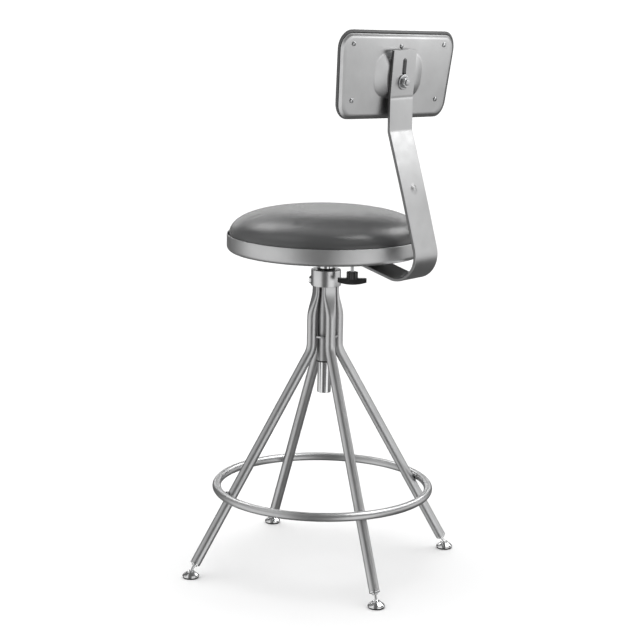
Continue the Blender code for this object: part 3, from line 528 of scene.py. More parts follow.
def leg_stations():
    foot = Vector((BALL_R, BALL_HEIGHT))
    up_leg = Vector((-sin(LEG_SPLAY), cos(LEG_SPLAY)))
    corner = foot + up_leg * (BALL_R - LEG_PARALLEL_R) / sin(LEG_SPLAY)
    run = LEG_BEND_RADIUS * tan(LEG_SPLAY / 2)
    centre = Vector((LEG_PARALLEL_R + LEG_BEND_RADIUS, corner.y + run))
    round_size = (LEG_RADIUS, LEG_RADIUS)
    foot_end = foot + up_leg * LEG_END_TO_BALL
    bend_start = centre - Vector((cos(LEG_SPLAY), sin(LEG_SPLAY))) * LEG_BEND_RADIUS
    stations = [(foot_end.lerp(bend_start, i / 12), LEG_SPLAY, round_size) for i in range(12)]
    for i in range(15):
        lean = LEG_SPLAY * (1 - i / 14)
        point = centre - Vector((cos(lean), sin(lean))) * LEG_BEND_RADIUS
        stations.append((point, lean, round_size))
    for i in range(17):
        share = i / 16
        ease = share * share * (3 - 2 * share)
        point = Vector((
            LEG_PARALLEL_R + (LEG_FLAT_R - LEG_PARALLEL_R) * ease,
            LEG_ROUND_TOP + (LEG_FLAT_BOTTOM - LEG_ROUND_TOP) * share,
        ))
        half_width = LEG_RADIUS + (LEG_FLAT_HALF_WIDTH - LEG_RADIUS) * ease
        half_depth = LEG_RADIUS + (LEG_FLAT_HALF_DEPTH - LEG_RADIUS) * ease
        stations.append((point, 0.0, (half_width, half_depth)))
    stations.append((Vector((LEG_FLAT_R, LEG_TOP)), 0.0, (LEG_FLAT_HALF_WIDTH, LEG_FLAT_HALF_DEPTH)))
    return stations


def leg_ring(station, sides=32):
    point, lean, (half_width, half_depth) = station
    straight = half_width - half_depth
    ring = []
    for i in range(sides):
        angle = tau * (i + 0.5) / sides
        across = copysign(straight, cos(angle)) + half_depth * cos(angle)
        out = half_depth * sin(angle)
        ring.append((point.x + out * cos(lean), across, point.y + out * sin(lean)))
    return ring


def make_legs():
    rings = [leg_ring(station) for station in leg_stations()]
    for i in range(4):
        turn = rotated(BASE_TURN + i * tau / 4)
        piece(f"leg_{i + 1}", skin("leg", rings), turn)


def make_foot_ring():
    rings = []
    for i in range(168):
        angle = tau * i / 168
        out = Vector((cos(angle), sin(angle), 0))
        ring = []
        for k in range(28):
            turn = tau * k / 28
            height = Vector((0, 0, RING_TUBE * sin(turn)))
            ring.append(out * (RING_RADIUS + RING_TUBE * cos(turn)) + height)
        rings.append(ring)
    piece("foot_ring", skin("foot_ring", rings, cyclic=True), moved(0, 0, RING_HEIGHT))


def make_welds():
    """A small rippled bead where each leg meets the ring."""
    for i in range(4):
        azimuth = BASE_TURN + i * tau / 4
        rings = []
        steps = 56
        for k in range(steps):
            turn = tau * k / steps
            wide = 0.0062 + 0.0006 * sin(2 * turn)
            ripple = 0.0013 + 0.00022 * sin(17 * turn + i)
            centre = Vector((0, wide * cos(turn), 0.92 * wide * sin(turn)))
            # the bead's centre sits in the groove between the two tubes
            sink = 0.0009 * cos(2 * turn)
            ring = []
            for s in range(12):
                a = tau * s / 12
                radial = Vector((0, cos(turn), sin(turn)))
                across = Vector((sink + 1.5 * ripple * sin(a), 0, 0))
                ring.append(centre + radial * ripple * 1.25 * cos(a) + across)
            rings.append(ring)
        lean = rotated(-LEG_SPLAY / 2, "Y")
        place = rotated(azimuth) @ moved(RING_RADIUS - RING_TUBE, 0, RING_HEIGHT) @ lean
        mesh = skin("weld", rings, cyclic=True)
        piece(f"leg_{i + 1}", mesh, place, suffix="ring_weld", stands_for=False)


def make_glide(i):
    azimuth = BASE_TURN + i * tau / 4
    out = Vector((cos(azimuth), sin(azimuth), 0))
    ball = out * BALL_R + Vector((0, 0, BALL_HEIGHT))
    up_leg = Vector((0, 0, cos(LEG_SPLAY))) - out * sin(LEG_SPLAY)
    leg_end = ball + up_leg * LEG_END_TO_BALL
    on_leg = moved(*leg_end) @ rotated(azimuth) @ rotated(-LEG_SPLAY, "Y")
    flange = 0.003
    plug = [(0, 0.012), (0.0066, 0.012), (0.0074, 0.0105), (0.0074, -GAP), (LEG_RADIUS, -GAP)]
    plug += [(LEG_RADIUS, -GAP - flange), (0, -GAP - flange)]
    piece(f"leg_plug_{i + 1}", lathe("plug", rounded(plug, {5: 0.0018, 4: 0.0003}), 40), on_leg)

    nut_top = -flange - 2 * GAP
    neck = 0.0026
    stem = [(0, nut_top), (0.0055, nut_top), (0.0055, nut_top - 0.0026), (neck, nut_top - 0.0032)]
    stem = rounded(stem, {1: 0.0005, 2: 0.0008})
    start = asin(neck / BALL_RADIUS)
    for step in range(13):
        angle = start + (pi - start) * step / 12
        radius = BALL_RADIUS * sin(angle) if step < 12 else 0
        stem.append((radius, -LEG_END_TO_BALL + BALL_RADIUS * cos(angle)))
    piece(f"glide_stem_{i + 1}", lathe("stem", stem, 32), on_leg)

    at_ball = moved(*ball) @ rotated(azimuth)
    socket_floor = -BALL_RADIUS - 0.0004
    mouth = 0.0016
    base = SOLE_THICKNESS + GAP - BALL_HEIGHT
    pad = [(0, socket_floor), (0.0044, socket_floor), (0.0044, 0), (0.0062, mouth), (0.0070, mouth)]
    pad += [(0.0078, 0), (0.0105, -0.0018), (0.0140, -0.0044), (PAD_RADIUS, -0.0065)]
    pad += [(PAD_RADIUS, base), (0, base)]
    radii = {3: 0.0003, 4: 0.0005, 5: 0.0012, 6: 0.002, 7: 0.002, 8: 0.0015, 9: 0.0004}
    piece(f"glide_pad_{i + 1}", lathe("pad", rounded(pad, radii), 56), at_ball)
    sole = rounded(rod(0.0145, -BALL_HEIGHT, base - GAP), {1: 0.0003, 2: 0.0007})
    piece(f"glide_sole_{i + 1}", lathe("sole", sole, 56), at_ball)


def make_collar():
    inner = COLLAR_RADIUS - COLLAR_WALL
    cap_under = LEG_TOP + GAP
    hole = SLEEVE_RADIUS + GAP
    profile = [(hole, COLLAR_TOP), (COLLAR_RADIUS, COLLAR_TOP), (COLLAR_RADIUS, COLLAR_BOTTOM)]
    profile += [(inner, COLLAR_BOTTOM), (inner, cap_under), (hole, cap_under)]
    radii = {0: 0.0003, 1: 0.0014, 2: 0.0009, 3: 0.0006, 4: 0.001}
    obj = piece("collar", lathe("collar", rounded(profile, radii, closed=True), 96, closed=True))
    obj.data.materials[0] = COLLAR_STEEL

    sleeve = band(SLEEVE_BORE, SLEEVE_RADIUS, SLEEVE_BOTTOM, COLLAR_TOP)
    piece("guide_sleeve", lathe("sleeve", rounded(sleeve, 0.0003, closed=True, steps=2), 64, closed=True))

    low = COLLAR_TOP + GAP
    high = low + 0.0017
    flange = 0.0165
    spigot_end = COLLAR_TOP - 0.0115
    bush = [(BUSH_BORE, high), (flange, high), (flange, low), (BUSH_SPIGOT, low)]
    bush += [(BUSH_SPIGOT, spigot_end), (BUSH_BORE, spigot_end)]
    bush = rounded(bush, {0: 0.0004, 1: 0.0007, 2: 0.0003}, closed=True)
    piece("upper_bush", lathe("bush", bush, 64, closed=True))

    high = SLEEVE_BOTTOM - GAP
    low = high - 0.0025
    spigot_end = SLEEVE_BOTTOM + 0.0100
    bush = [(BUSH_BORE, spigot_end), (BUSH_SPIGOT, spigot_end), (BUSH_SPIGOT, high)]
    bush += [(SLEEVE_RADIUS, high), (SLEEVE_RADIUS, low), (BUSH_BORE, low)]
    bush = rounded(bush, {3: 0.0003, 4: 0.0008, 5: 0.0004}, closed=True)
    piece("lower_bush", lathe("bush", bush, 64, closed=True))


def make_spacer_plate():
    notch = LEG_RADIUS + 3 * GAP
    widest = 0.0240
    half_notch = asin(notch / LEG_PARALLEL_R)
    points = []
    for i in range(128):
        angle = tau * i / 128
        off_leg = (angle + tau / 8) % (tau / 4) - tau / 8
        reach = widest
        if abs(off_leg) < half_notch:
            across = LEG_PARALLEL_R * sin(off_leg)
            reach = LEG_PARALLEL_R * cos(off_leg) - sqrt(notch * notch - across * across)
        points.append((min(reach, widest) * cos(angle), min(reach, widest) * sin(angle)))
    turn = moved(0, 0, SPACER_HEIGHT) @ rotated(BASE_TURN)
    mesh = outline_solid("spacer", [points, circle(SLEEVE_RADIUS + GAP, count=64)], 0.003, turn=turn)
    piece("spacer_plate", mesh)


def hex_head(across, height, chamfer=0.0008):
    """A hexagon with its corners turned down at the free end."""
    sides = 48
    hexagon = []
    turned = []
    for i in range(sides):
        angle = tau * i / sides
        reach = across / 2 / cos((angle % (tau / 6)) - tau / 12)
        hexagon.append((reach * cos(angle), reach * sin(angle)))
        turned.append((across * 0.485 * cos(angle), across * 0.485 * sin(angle)))
    levels = ((hexagon, 0), (hexagon, height - chamfer), (turned, height))
    return skin("hex", [[(x, y, z) for x, y in outline] for outline, z in levels], sharp=25)


def make_lock_screw():
    start = COLLAR_RADIUS + GAP
    place = moved(0, 0, LOCK_HEIGHT) @ rotated(LOCK_AZIMUTH) @ moved(start, 0, 0) @ rotated(pi / 2, "Y")
    shank = rounded(rod(LOCK_RADIUS, POST_RADIUS + GAP - start, 0.002), {2: 0.0008})
    mesh = combine(hex_head(0.0130, 0.0042), lathe("shank", shank, 24), "UNION")
    piece("lock_screw", mesh, place)


# Post and swivel


def make_post():
    post = rod(POST_RADIUS, POST_BOTTOM, BEARING_BOTTOM - GAP)
    piece("post", lathe("post", rounded(post, {1: 0.0008, 2: 0.0013}), 80))
    disc_top = BEARING_BOTTOM + 0.0037
    disc = rod(BEARING_RADIUS, BEARING_BOTTOM, disc_top)
    piece("bearing_disc", lathe("disc", rounded(disc, {1: 0.0008, 2: 0.0012}), 80))
    race = band(0.016, 0.028, disc_top + GAP, SWIVEL_PLATE_BOTTOM - GAP)
    piece("thrust_washer", lathe("race", rounded(race, 0.0012, closed=True), 80, closed=True))


def dome_screw(head_radius, head_height, shank_radius, length):
    """A domed screw standing on Z = 0 with a cross recess."""
    profile = [(0, head_height)]
    for i in range(1, 9):
        angle = pi / 2 * i / 8
        profile.append((head_radius * sin(angle), head_height * (0.12 + 0.88 * cos(angle))))
    profile += [(head_radius, 0), (shank_radius, 0), (shank_radius, -length + 0.0015), (0, -length)]
    arm = head_radius * 0.58
    web = head_radius * 0.13
    corners = [(arm, web), (web, web), (web, arm), (-web, arm), (-web, web), (-arm, web)]
    cross = corners + [(-x, -y) for x, y in corners]
    recess = outline_solid("recess", [cross], head_height, turn=moved(0, 0, head_height))
    return combine(lathe("screw", profile, 40), recess, "DIFFERENCE")


def make_swivel_plate():
    corners = [(0.050, 0.092), (-0.050, 0.092), (-0.050, -0.050), (0.050, -0.050)]
    thickness = SEAT_BOTTOM - GAP - SWIVEL_PLATE_BOTTOM
    lift = moved(0, 0, SWIVEL_PLATE_BOTTOM + thickness / 2)
    outline = rounded(corners, 0.008, closed=True, steps=8)
    places = SEAT_SCREW_PLACES + [(0.040, CLAMP_Y), (-0.040, CLAMP_Y)]
    holes = [circle(0.0060)] + [circle(0.0022, place, 24) for place in places]
    piece("swivel_plate", outline_solid("plate", [outline] + holes, thickness, turn=lift))
    for i, (x, y) in enumerate(SEAT_SCREW_PLACES):
        place = moved(x, y, SWIVEL_PLATE_BOTTOM - GAP) @ rotated(pi, "X") @ rotated(0.5 + i)
        piece(f"seat_screw_{i + 1}", dome_screw(0.0045, 0.0027, 0.0019, 0.0155), place)


def make_seat_pan():
    """A pressed pan: a coved corner, an upright wall and a rolled edge."""
    roll = PAN_WALL / 2
    quarter = pi / 2
    corner = (SEAT_RADIUS - RIM_CORNER, SEAT_BOTTOM + RIM_CORNER)
    profile = [(0, SEAT_BOTTOM + PAN_WALL), (0.09, SEAT_BOTTOM + PAN_WALL)]
    profile += arc(corner, RIM_CORNER - PAN_WALL, -quarter, 0, 10)
    profile += arc((SEAT_RADIUS - roll, RIM_TOP - roll), roll, pi, 0, 10)
    profile += arc(corner, RIM_CORNER, 0, -quarter, 10)
    profile += [(0.09, SEAT_BOTTOM), (0, SEAT_BOTTOM)]
    piece("seat_pan", lathe("pan", profile, 192))


# Upholstery


CLOTH_FRAMES = 20
CLOTH_STIFFNESS = 15.0
CLOTH_PRESSURE = 4.0
CLOTH_REACH = 0.003


def inflated(mesh, pinned):
    """A cover blown up a little as cloth. Its pinned points stay, and no point moves past the reach."""
    rest = [vertex.co.copy() for vertex in mesh.vertices]
    blown = mesh
    holder = bpy.data.objects.new("cushion_cloth", mesh)
    bpy.context.scene.collection.objects.link(holder)
    group = holder.vertex_groups.new(name="pinned")
    group.add([i for i, point in enumerate(rest) if pinned(point)], 1.0, "REPLACE")
    cloth = holder.modifiers.new("cloth", "CLOTH")
    settings = cloth.settings
    settings.quality = 6
    settings.mass = 0.25
    settings.tension_stiffness = CLOTH_STIFFNESS
    settings.compression_stiffness = CLOTH_STIFFNESS
    settings.shear_stiffness = 5.0
    settings.bending_stiffness = 3.0
    settings.use_pressure = True
    settings.uniform_pressure_force = CLOTH_PRESSURE
    settings.vertex_group_mass = group.name
    settings.effector_weights.gravity = 0.0
    cloth.collision_settings.use_collision = False
    cloth.point_cache.frame_start = 1
    cloth.point_cache.frame_end = CLOTH_FRAMES
    for number in range(1, CLOTH_FRAMES + 1):
        bpy.context.scene.frame_set(number)
    depsgraph = bpy.context.evaluated_depsgraph_get()
    blown = bpy.data.meshes.new_from_object(holder.evaluated_get(depsgraph))
    for vertex, before in zip(blown.vertices, rest):
        move = vertex.co - before
        if move.length > CLOTH_REACH:
            move = move.normalized() * CLOTH_REACH
        vertex.co = before + move
    bpy.context.scene.frame_set(1)
    bpy.data.objects.remove(holder)

    def refine(holder):
        relax = holder.modifiers.new("relax", "SMOOTH")
        relax.factor = 0.5
        relax.iterations = 2
        fine = holder.modifiers.new("fine", "SUBSURF")
        fine.levels = fine.render_levels = 1

    return softened(baked(blown, refine), sharp=None)


def make_seat_cushion():
    """A full dome: steep sides tucked inside the pan's rim, rolling over to a nearly flat crown."""
    bottom = SEAT_BOTTOM + PAN_WALL + BOARD_THICKNESS + 2 * GAP
    shoulder = RIM_TOP - 0.001
    radius = CUSHION_RADIUS + 0.0015
    crown = SEAT_TOP - 0.0015 - shoulder
    dome = []
    steps = 40
    for i in range(steps + 1):
        angle = pi / 2 * (1 - i / steps)
        across = cos(angle) ** 0.56 if i else 0
        dome.append((radius * across, shoulder + crown * sin(angle) ** 0.96))
    sides = [(radius - 0.0004, shoulder - 0.004), (radius - 0.0012, bottom + 0.004), (radius - 0.004, bottom)]
    under = [(radius * share, bottom) for share in (0.85, 0.6, 0.3, 0)]
    shape = lathe("seat_cushion", dome + sides + under, 144)
    mesh = inflated(shape, lambda p: p.z < RIM_TOP + 0.002)
    piece("seat_cushion", mesh)


# Backrest


def bar_path():
    """Points and directions along the bar's outer face, with 2 mm between points."""
    places = (BAR_INNER_END, BAR_TAIL_BEND, BAR_U_CORNER, BAR_SET, BAR_TOP_BEND, BAR_CREASE)
    corners = [Vector(place) for place in places]
    lean = Vector((sin(BAR_LEAN), cos(BAR_LEAN)))
    corners.append(Vector(BAR_CREASE) + lean * BAR_TOP_LENGTH)
    radii = [0, 0.02, BAR_U_RADIUS, 0.12, 0.016, 0.012, 0]
    path = []
    for i, corner in enumerate(corners):
        before = (corner - corners[i - 1]).normalized() if i else (corners[1] - corner).normalized()
        after = (corners[i + 1] - corner).normalized() if i + 1 < len(corners) else before
        if not radii[i]:
            path.append((corner, before))
            continue
        turn = before.angle(after)
        side = 1 if before.cross(after) > 0 else -1
        start = corner - before * radii[i] * tan(turn / 2)
        centre = start + Vector((-before.y, before.x)) * side * radii[i]
        steps = max(4, round(degrees(turn) / 4))
        for step in range(steps + 1):
            swing = Matrix.Rotation(side * turn * step / steps, 2)
            path.append((centre + swing @ (start - centre), swing @ before))
    fine = [path[0]]
    for point, along in path[1:]:
        last, last_along = fine[-1]
        gap = (point - last).length
        if gap < 1e-6:
            continue
        parts = max(1, round(gap / 0.0022))
        for k in range(1, parts + 1):
            fine.append((last.lerp(point, k / parts), last_along.lerp(along, k / parts).normalized()))
    return fine


def bar_section(half, edge, columns=26, steps=4):
    """The strip's outline as (across, depth), its edges rounded, from the outer face round."""
    inner = half - edge
    deep = BAR_THICKNESS - edge
    quarter = pi / 2
    row = [inner - 2 * inner * i / columns for i in range(columns + 1)]
    section = [(x, 0.0) for x in row]
    section += arc((-inner, edge), edge, -quarter, -pi, steps)[1:] + [(-half, BAR_THICKNESS / 2)]
    section += arc((-inner, deep), edge, pi, quarter, steps)[:-1]
    section += [(-x, BAR_THICKNESS) for x in row]
    section += arc((inner, deep), edge, quarter, 0, steps)[1:] + [(half, BAR_THICKNESS / 2)]
    section += arc((inner, edge), edge, 0, -quarter, steps)[:-1]
    return section


def make_back_bar():
    half = BAR_WIDTH / 2
    edge = 0.0011
    section = bar_section(half, edge)
    along_set = (Vector(BAR_TOP_BEND) - Vector(BAR_SET)).normalized()
    dimple = Vector(BAR_SET) + along_set * 0.011
    rings = []
    for point, along in bar_path():
        inward = Vector((-along.y, along.x))
        up_dimple = (point - dimple).dot(along_set)
        ring = []
        for x, depth in section:
            push = 0.0
            if abs(up_dimple) < 0.02 and (point - dimple).length < 0.03:
                reach = hypot(x / 0.0085, up_dimple / 0.0105)
                if reach < 1:
                    push = 0.0024 * (1 - reach * reach) ** 1.5
                    if depth > BAR_THICKNESS / 2:
                        push *= 0.8
            if depth == 0 and (point - Vector(BAR_CREASE)).length < 0.0012:
                push = -0.0003
            place = point + inward * (depth - push)
            ring.append((x, place.x, place.y))
        rings.append(ring)
    bar = skin("bar", rings, sharp=40)

    slot_half = STUD_RADIUS + 0.0005
    loop = arc((0, SLOT_TRAVEL), slot_half, 0, pi, 16)
    loop += arc((0, 0), slot_half, pi, tau, 16)
    lay = Matrix(((1, 0, 0), (0, UP_BAR.y, -OUT_OF_BAR.y), (0, UP_BAR.z, -OUT_OF_BAR.z))).to_4x4()
    cutter = outline_solid("slot", [loop], 0.03, turn=moved(*STUD_PLACE) @ lay)
    obj = piece("back_bar", combine(bar, cutter, "DIFFERENCE"))
    # the bar's side faces take the darker steel, painted shade along its edges
    obj.data.materials.append(PAINTED_SHADE_EDGE)
    for face in obj.data.polygons:
        if abs(face.normal.x) > 0.75 and abs(face.center.x) > half - edge:
            face.material_index = 1


def panel_outline(size, inset=0.0, corner_steps=10, edge_steps=26, side_steps=12):
    """A rounded trapezium, wider at its top, as (x, v) points with the same count for every size."""
    half_top, half_bottom, half_height, radius, centre = size
    top_x = half_top - inset
    bottom_x = half_bottom - inset
    top = half_height - inset
    radius = max(radius - inset, 0.006)
    slope = atan2(top_x - bottom_x, 2 * top)
    quarter = pi / 2
    low = (bottom_x - radius / tan((quarter + slope) / 2), radius - top)
    high = (top_x - radius / tan((quarter - slope) / 2), top - radius)
    lower = [Vector(point) for point in arc(low, radius, -quarter, -slope, corner_steps)]
    upper = [Vector(point) for point in arc(high, radius, -slope, quarter, corner_steps)]
    side = [lower[-1].lerp(upper[0], i / side_steps) for i in range(1, side_steps)]
    right = lower + side + upper
    left = [Vector((-p.x, p.y)) for p in reversed(right)]
    over = [right[-1].lerp(left[0], i / edge_steps) for i in range(1, edge_steps)]
    under = [left[-1].lerp(right[0], i / edge_steps) for i in range(1, edge_steps)]
    return [(p.x, p.y + PAD_RISE + centre) for p in right + over + left + under]


def round_loop(outline, half_x, half_v, centre=0.0, squareness=2.0):
    """An ellipse, or a squarer oval, with a point for each point of the outline."""
    points = []
    for x, v in outline:
        angle = atan2((v - PAD_RISE) / PANEL_SIZE[2], x / PANEL_SIZE[0])
        across = cos(angle)
        upward = sin(angle)
        reach = (abs(across) ** squareness + abs(upward) ** squareness) ** (-1 / squareness)
        points.append((half_x * across * reach, centre + half_v * upward * reach))
    return points


def curved_ring(points, depth, curve=PAD_CURVE):
    return [(x, depth - curve * x * x / 2, v) for x, v in points]


def between(first, second, share):
    keep = 1 - share
    return [(keep * a[0] + share * b[0], keep * a[1] + share * b[1]) for a, b in zip(first, second)]


def make_back_panel():
    """A pressed sheet with a bevelled edge and a soft squarish boss that the bar lies on."""
    outline = panel_outline(PANEL_SIZE)
    brim = panel_outline(PANEL_SIZE, BEVEL_WIDTH)
    foot = round_loop(outline, *BOSS_SIZE, PAD_RISE, 2.8)
    crown = round_loop(outline, *BOSS_CROWN, PAD_RISE * 0.6, 2.4)
    hole = round_loop(outline, STUD_RADIUS + 0.0008, STUD_RADIUS + 0.0008)
    field = -BOSS_HEIGHT
    rings = [curved_ring(hole, 0, 0)]
    rings += [curved_ring(between(hole, crown, share), 0, 0) for share in (0.15, 0.4, 0.7, 0.93, 1.0)]
    steps = 12
    for i in range(1, steps + 1):
        share = i / steps
        fall = share ** 1.35 * (1.25 - 0.25 * share)
        rings.append(curved_ring(between(crown, foot, share), field * fall, PAD_CURVE * fall))
    rings += [curved_ring(between(foot, brim, share), field) for share in (0.03, 0.3, 0.6, 0.9, 1.0)]
    for inset_share, depth_share in ((0.82, 0.12), (0.55, 0.42), (0.3, 0.72), (0.12, 0.92), (0.0, 1.0)):
        ring = panel_outline(PANEL_SIZE, BEVEL_WIDTH * inset_share)
        rings.append(curved_ring(ring, field - BEVEL_DEPTH * depth_share))
    mesh = skin("panel", rings, caps=False, sharp=60)
    if sum(face.normal.y for face in mesh.polygons) < 0:
        mesh.flip_normals()

    def modify(holder):
        thick = holder.modifiers.new("sheet", "SOLIDIFY")
        thick.thickness = PANEL_SHEET
        thick.offset = -1

    piece("back_panel", softened(baked(mesh, modify), sharp=50), PAD_FRAME)


def make_back_cushion():
    """A crowned pad, thin at its edge and blown up in front of its board."""
    rear = BACK_BOARD_FRONT - 4 * GAP
    edge = -BOSS_HEIGHT - BEVEL_DEPTH
    under = edge - PANEL_SHEET - 3 * GAP
    board = panel_outline(BACK_BOARD_SIZE)
    hole = round_loop(board, 0.006, 0.006)
    rings = [curved_ring(between(hole, board, share), rear) for share in (0.0, 0.35, 0.7, 1.0)]
    rings += [
        curved_ring(panel_outline(BACK_BOARD_SIZE, -0.0018), rear),
        curved_ring(panel_outline(BACK_BOARD_SIZE, -0.0020), under),
        curved_ring(panel_outline(PANEL_SIZE, 0.003), under),
        curved_ring(panel_outline(PANEL_SIZE, -0.0006), under),
    ]
    lip = panel_outline(PANEL_SIZE, -0.0006)
    widest = panel_outline(COVER_SIZE)
    for latitude in (0, 20, 40, 60, 78, 90):
        turn = radians(latitude)
        rings.append(curved_ring(between(lip, widest, sin(turn)), edge - 0.0018 * (1 - cos(turn))))
    for inset, depth in ((0.0008, 0.0030), (0.0030, 0.0050), (0.0068, 0.0076)):
        rings.append(curved_ring(panel_outline(COVER_SIZE, inset), edge - depth))
    shoulder = panel_outline(COVER_SIZE, 0.0068)
    crown = round_loop(widest, 0.080, 0.030, PAD_RISE, 2.6)
    slope = [(0.08, 0.0099), (0.18, 0.0125), (0.30, 0.0147), (0.44, 0.0167), (0.60, 0.0184), (0.78, 0.0197)]
    for share, depth in slope + [(1.0, 0.0205)]:
        rings.append(curved_ring(between(shoulder, crown, share), edge - depth))
    for half_x, half_v, depth in ((0.052, 0.019, 0.0209), (0.027, 0.010, 0.0211), (0.006, 0.004, 0.0212)):
        rings.append(curved_ring(round_loop(widest, half_x, half_v, PAD_RISE, 2.2), edge - depth))
    shape = skin("back_cushion", rings, sharp=60)
    mesh = inflated(shape, lambda p: p.y + PAD_CURVE * p.x * p.x / 2 > edge - 0.006)
    piece("back_cushion", mesh, PAD_FRAME)


def make_back_fasteners():
    for i, (name, (x, v)) in enumerate(BACK_SCREW_PLACES.items()):
        slant = PAD_CURVE * x
        depth = -BOSS_HEIGHT - PAD_CURVE * x * x / 2
        normal = Vector((sin(slant), cos(slant), 0))
        seat = Vector((x, depth, v)) + normal * GAP
        lay = moved(*seat) @ rotated(-slant) @ rotated(-pi / 2, "X") @ rotated(0.4 + 1.3 * i)
        piece(name, dome_screw(0.0042, 0.0022, 0.0019, 0.0080), PAD_FRAME @ lay)

    outwards = PAD_FRAME @ rotated(-pi / 2, "X")
    end = 0.0172
    shoulder = BACK_BOARD_FRONT + 0.0024
    stud = [(0, end), (STUD_RADIUS, end), (STUD_RADIUS, shoulder), (0.0088, shoulder)]
    stud += [(0.0088, BACK_BOARD_FRONT + GAP), (0, BACK_BOARD_FRONT + GAP)]
    piece("back_stud", lathe("stud", rounded(stud, {1: 0.0011, 3: 0.0006}), 40), outwards)
    low = BAR_THICKNESS + 2 * GAP
    high = low + 0.0018
    washer = band(STUD_RADIUS + GAP, 0.0135, low, high)
    washer = rounded(washer, {0: 0.0003, 1: 0.0006, 2: 0.0003}, closed=True)
    piece("back_washer", lathe("washer", washer, 56, closed=True), outwards)
    turn = moved(0, 0, high + GAP) @ rotated(0.35)
    piece("back_nut", hex_nut(0.0170, 0.0066, STUD_RADIUS), outwards @ turn)


def hex_nut(across, height, bolt_radius):
    """A hexagon nut with turned corners and a clear bore."""
    bore = lathe("bore", rod(bolt_radius + GAP, -0.001, height + 0.001), 40)
    return combine(hex_head(across, height, 0.0010), bore, "DIFFERENCE")


# Clamp


def make_bar_guide():
    slide_half = BAR_WIDTH / 2 + 2 * GAP
    wall = 0.0025
    low = BAR_INNER_END[1] - 0.0005
    high = SWIVEL_PLATE_BOTTOM - GAP
    flange = 0.0022
    half = 0.048
    right = [(slide_half + wall, low - wall), (slide_half + wall, high - flange), (half, high - flange)]
    right += [(half, high), (slide_half, high), (slide_half, low)]
    outline = right + [(-x, z) for x, z in reversed(right)]
    radii = {0: 0.0022, 1: 0.0006, 5: 0.0005, 6: 0.0005, 10: 0.0006, 11: 0.0022}
    stand_up = moved(0, (GUIDE_START + GUIDE_END) / 2, 0) @ rotated(pi / 2, "X")
    strap = rounded(outline, radii, closed=True)
    mesh = outline_solid("guide", [strap], GUIDE_END - GUIDE_START, turn=stand_up)
    bore = lathe("bore", rod(CLAMP_SCREW_RADIUS + GAP, low - 0.01, low + 0.002), 40)
    bore.transform(moved(0, CLAMP_Y, 0))
    piece("bar_guide", combine(mesh, bore, "DIFFERENCE"))
    for i, x in enumerate((0.040, -0.040)):
        place = moved(x, CLAMP_Y, high - flange - GAP) @ rotated(pi, "X")
        piece(f"guide_screw_{i + 1}", dome_screw(0.0042, 0.0026, 0.0019, 0.0178), place)
    place = moved(0, CLAMP_Y, low - wall - GAP) @ rotated(pi, "X")
    piece("clamp_nut", hex_nut(0.0121, 0.0052, CLAMP_SCREW_RADIUS), place)


def make_wing_knob():
    hub_top = 0.5713
    hub_bottom = 0.5580
    profile = rounded(rod(0.0102, hub_bottom, hub_top), {1: 0.0010, 2: 0.0008}, steps=5)
    fluted = lathe("hub", profile, 160, flute=lambda a, r, z: 0.0006 * cos(10 * a) if r > 0.008 else 0)
    half_length = 0.0265
    wing_top = 0.5592
    depth, end_depth = 0.0114, 0.0070
    outline = [(half_length, wing_top), (-half_length, wing_top)]
    for i in range(25):
        across = -1 + i / 12
        belly = (depth - end_depth) * (1 - across * across)
        outline.append((half_length * across, wing_top - end_depth - belly))
    turn_wing = rotated(WING_AZIMUTH) @ rotated(pi / 2, "X")
    wing = outline_solid("wing", [outline], 0.0125, turn=turn_wing)
    mesh = moulded_union([fluted, wing], 0.00055, 3)
    place = moved(0, CLAMP_Y, 0)
    screw_low = hub_bottom - 0.0040
    bore = lathe("bore", rod(CLAMP_SCREW_RADIUS + GAP, screw_low - GAP, hub_top + 0.005), 40)
    piece("wing_knob", combine(mesh, bore, "DIFFERENCE"), place)
    screw = rod(CLAMP_SCREW_RADIUS, screw_low, BAR_INNER_END[1] - GAP)
    piece("clamp_screw", lathe("clamp_screw", rounded(screw, {1: 0.001}), 40), place)


# Studio


def make_camera():
    """A long lens, behind the stool and to its right, a little above the seat."""
    distance, height = 3.3706, 1.1635
    pitch, yaw, roll = radians(11.60), radians(-0.165), radians(-0.99)
    ahead = Vector((sin(yaw), cos(yaw), 0))
    level = Vector((cos(yaw), -sin(yaw), 0))
    vertical = Vector((0, 0, 1))
    facing = ahead * cos(pitch) - vertical * sin(pitch)
    upward = ahead * sin(pitch) + vertical * cos(pitch)
    right = cos(roll) * level - sin(roll) * upward
    top = sin(roll) * level + cos(roll) * upward
    turn = rotated(radians(131))
    axes = Matrix((right, top, -facing)).transposed().to_4x4()
    camera = bpy.data.objects.new("camera", bpy.data.cameras.new("camera"))
    camera.data.sensor_width = 36
    camera.data.lens = 104.12
    camera.data.clip_end = 200
    camera.matrix_world = turn @ moved(0, -distance, height) @ axes
    bpy.context.scene.collection.objects.link(camera)
    bpy.context.scene.camera = camera


def make_floor():
    bm = bmesh.new()
    bmesh.ops.create_circle(bm, cap_ends=True, segments=96, radius=70, matrix=moved(0, 0, -0.0002))
    mesh = bpy.data.meshes.new("studio_floor")
    bm.to_mesh(mesh)
    bm.free()
    floor = bpy.data.objects.new("studio_floor", mesh)
    bpy.context.scene.collection.objects.link(floor)
    look, nodes, shader, place = new_material("studio_paper")
    cloud = nodes.noise(place, 1.5, 2.0, 0.5)
    nodes.feed(shader.inputs["Base Color"], nodes.ramp(cloud, [(0.3, (0.89,) * 3), (0.7, (0.9,) * 3)]))
    shader.inputs["Roughness"].default_value = 0.95
    shader.inputs["Specular IOR Level"].default_value = 0.0
    mesh.materials.append(look)
    floor.visible_glossy = False


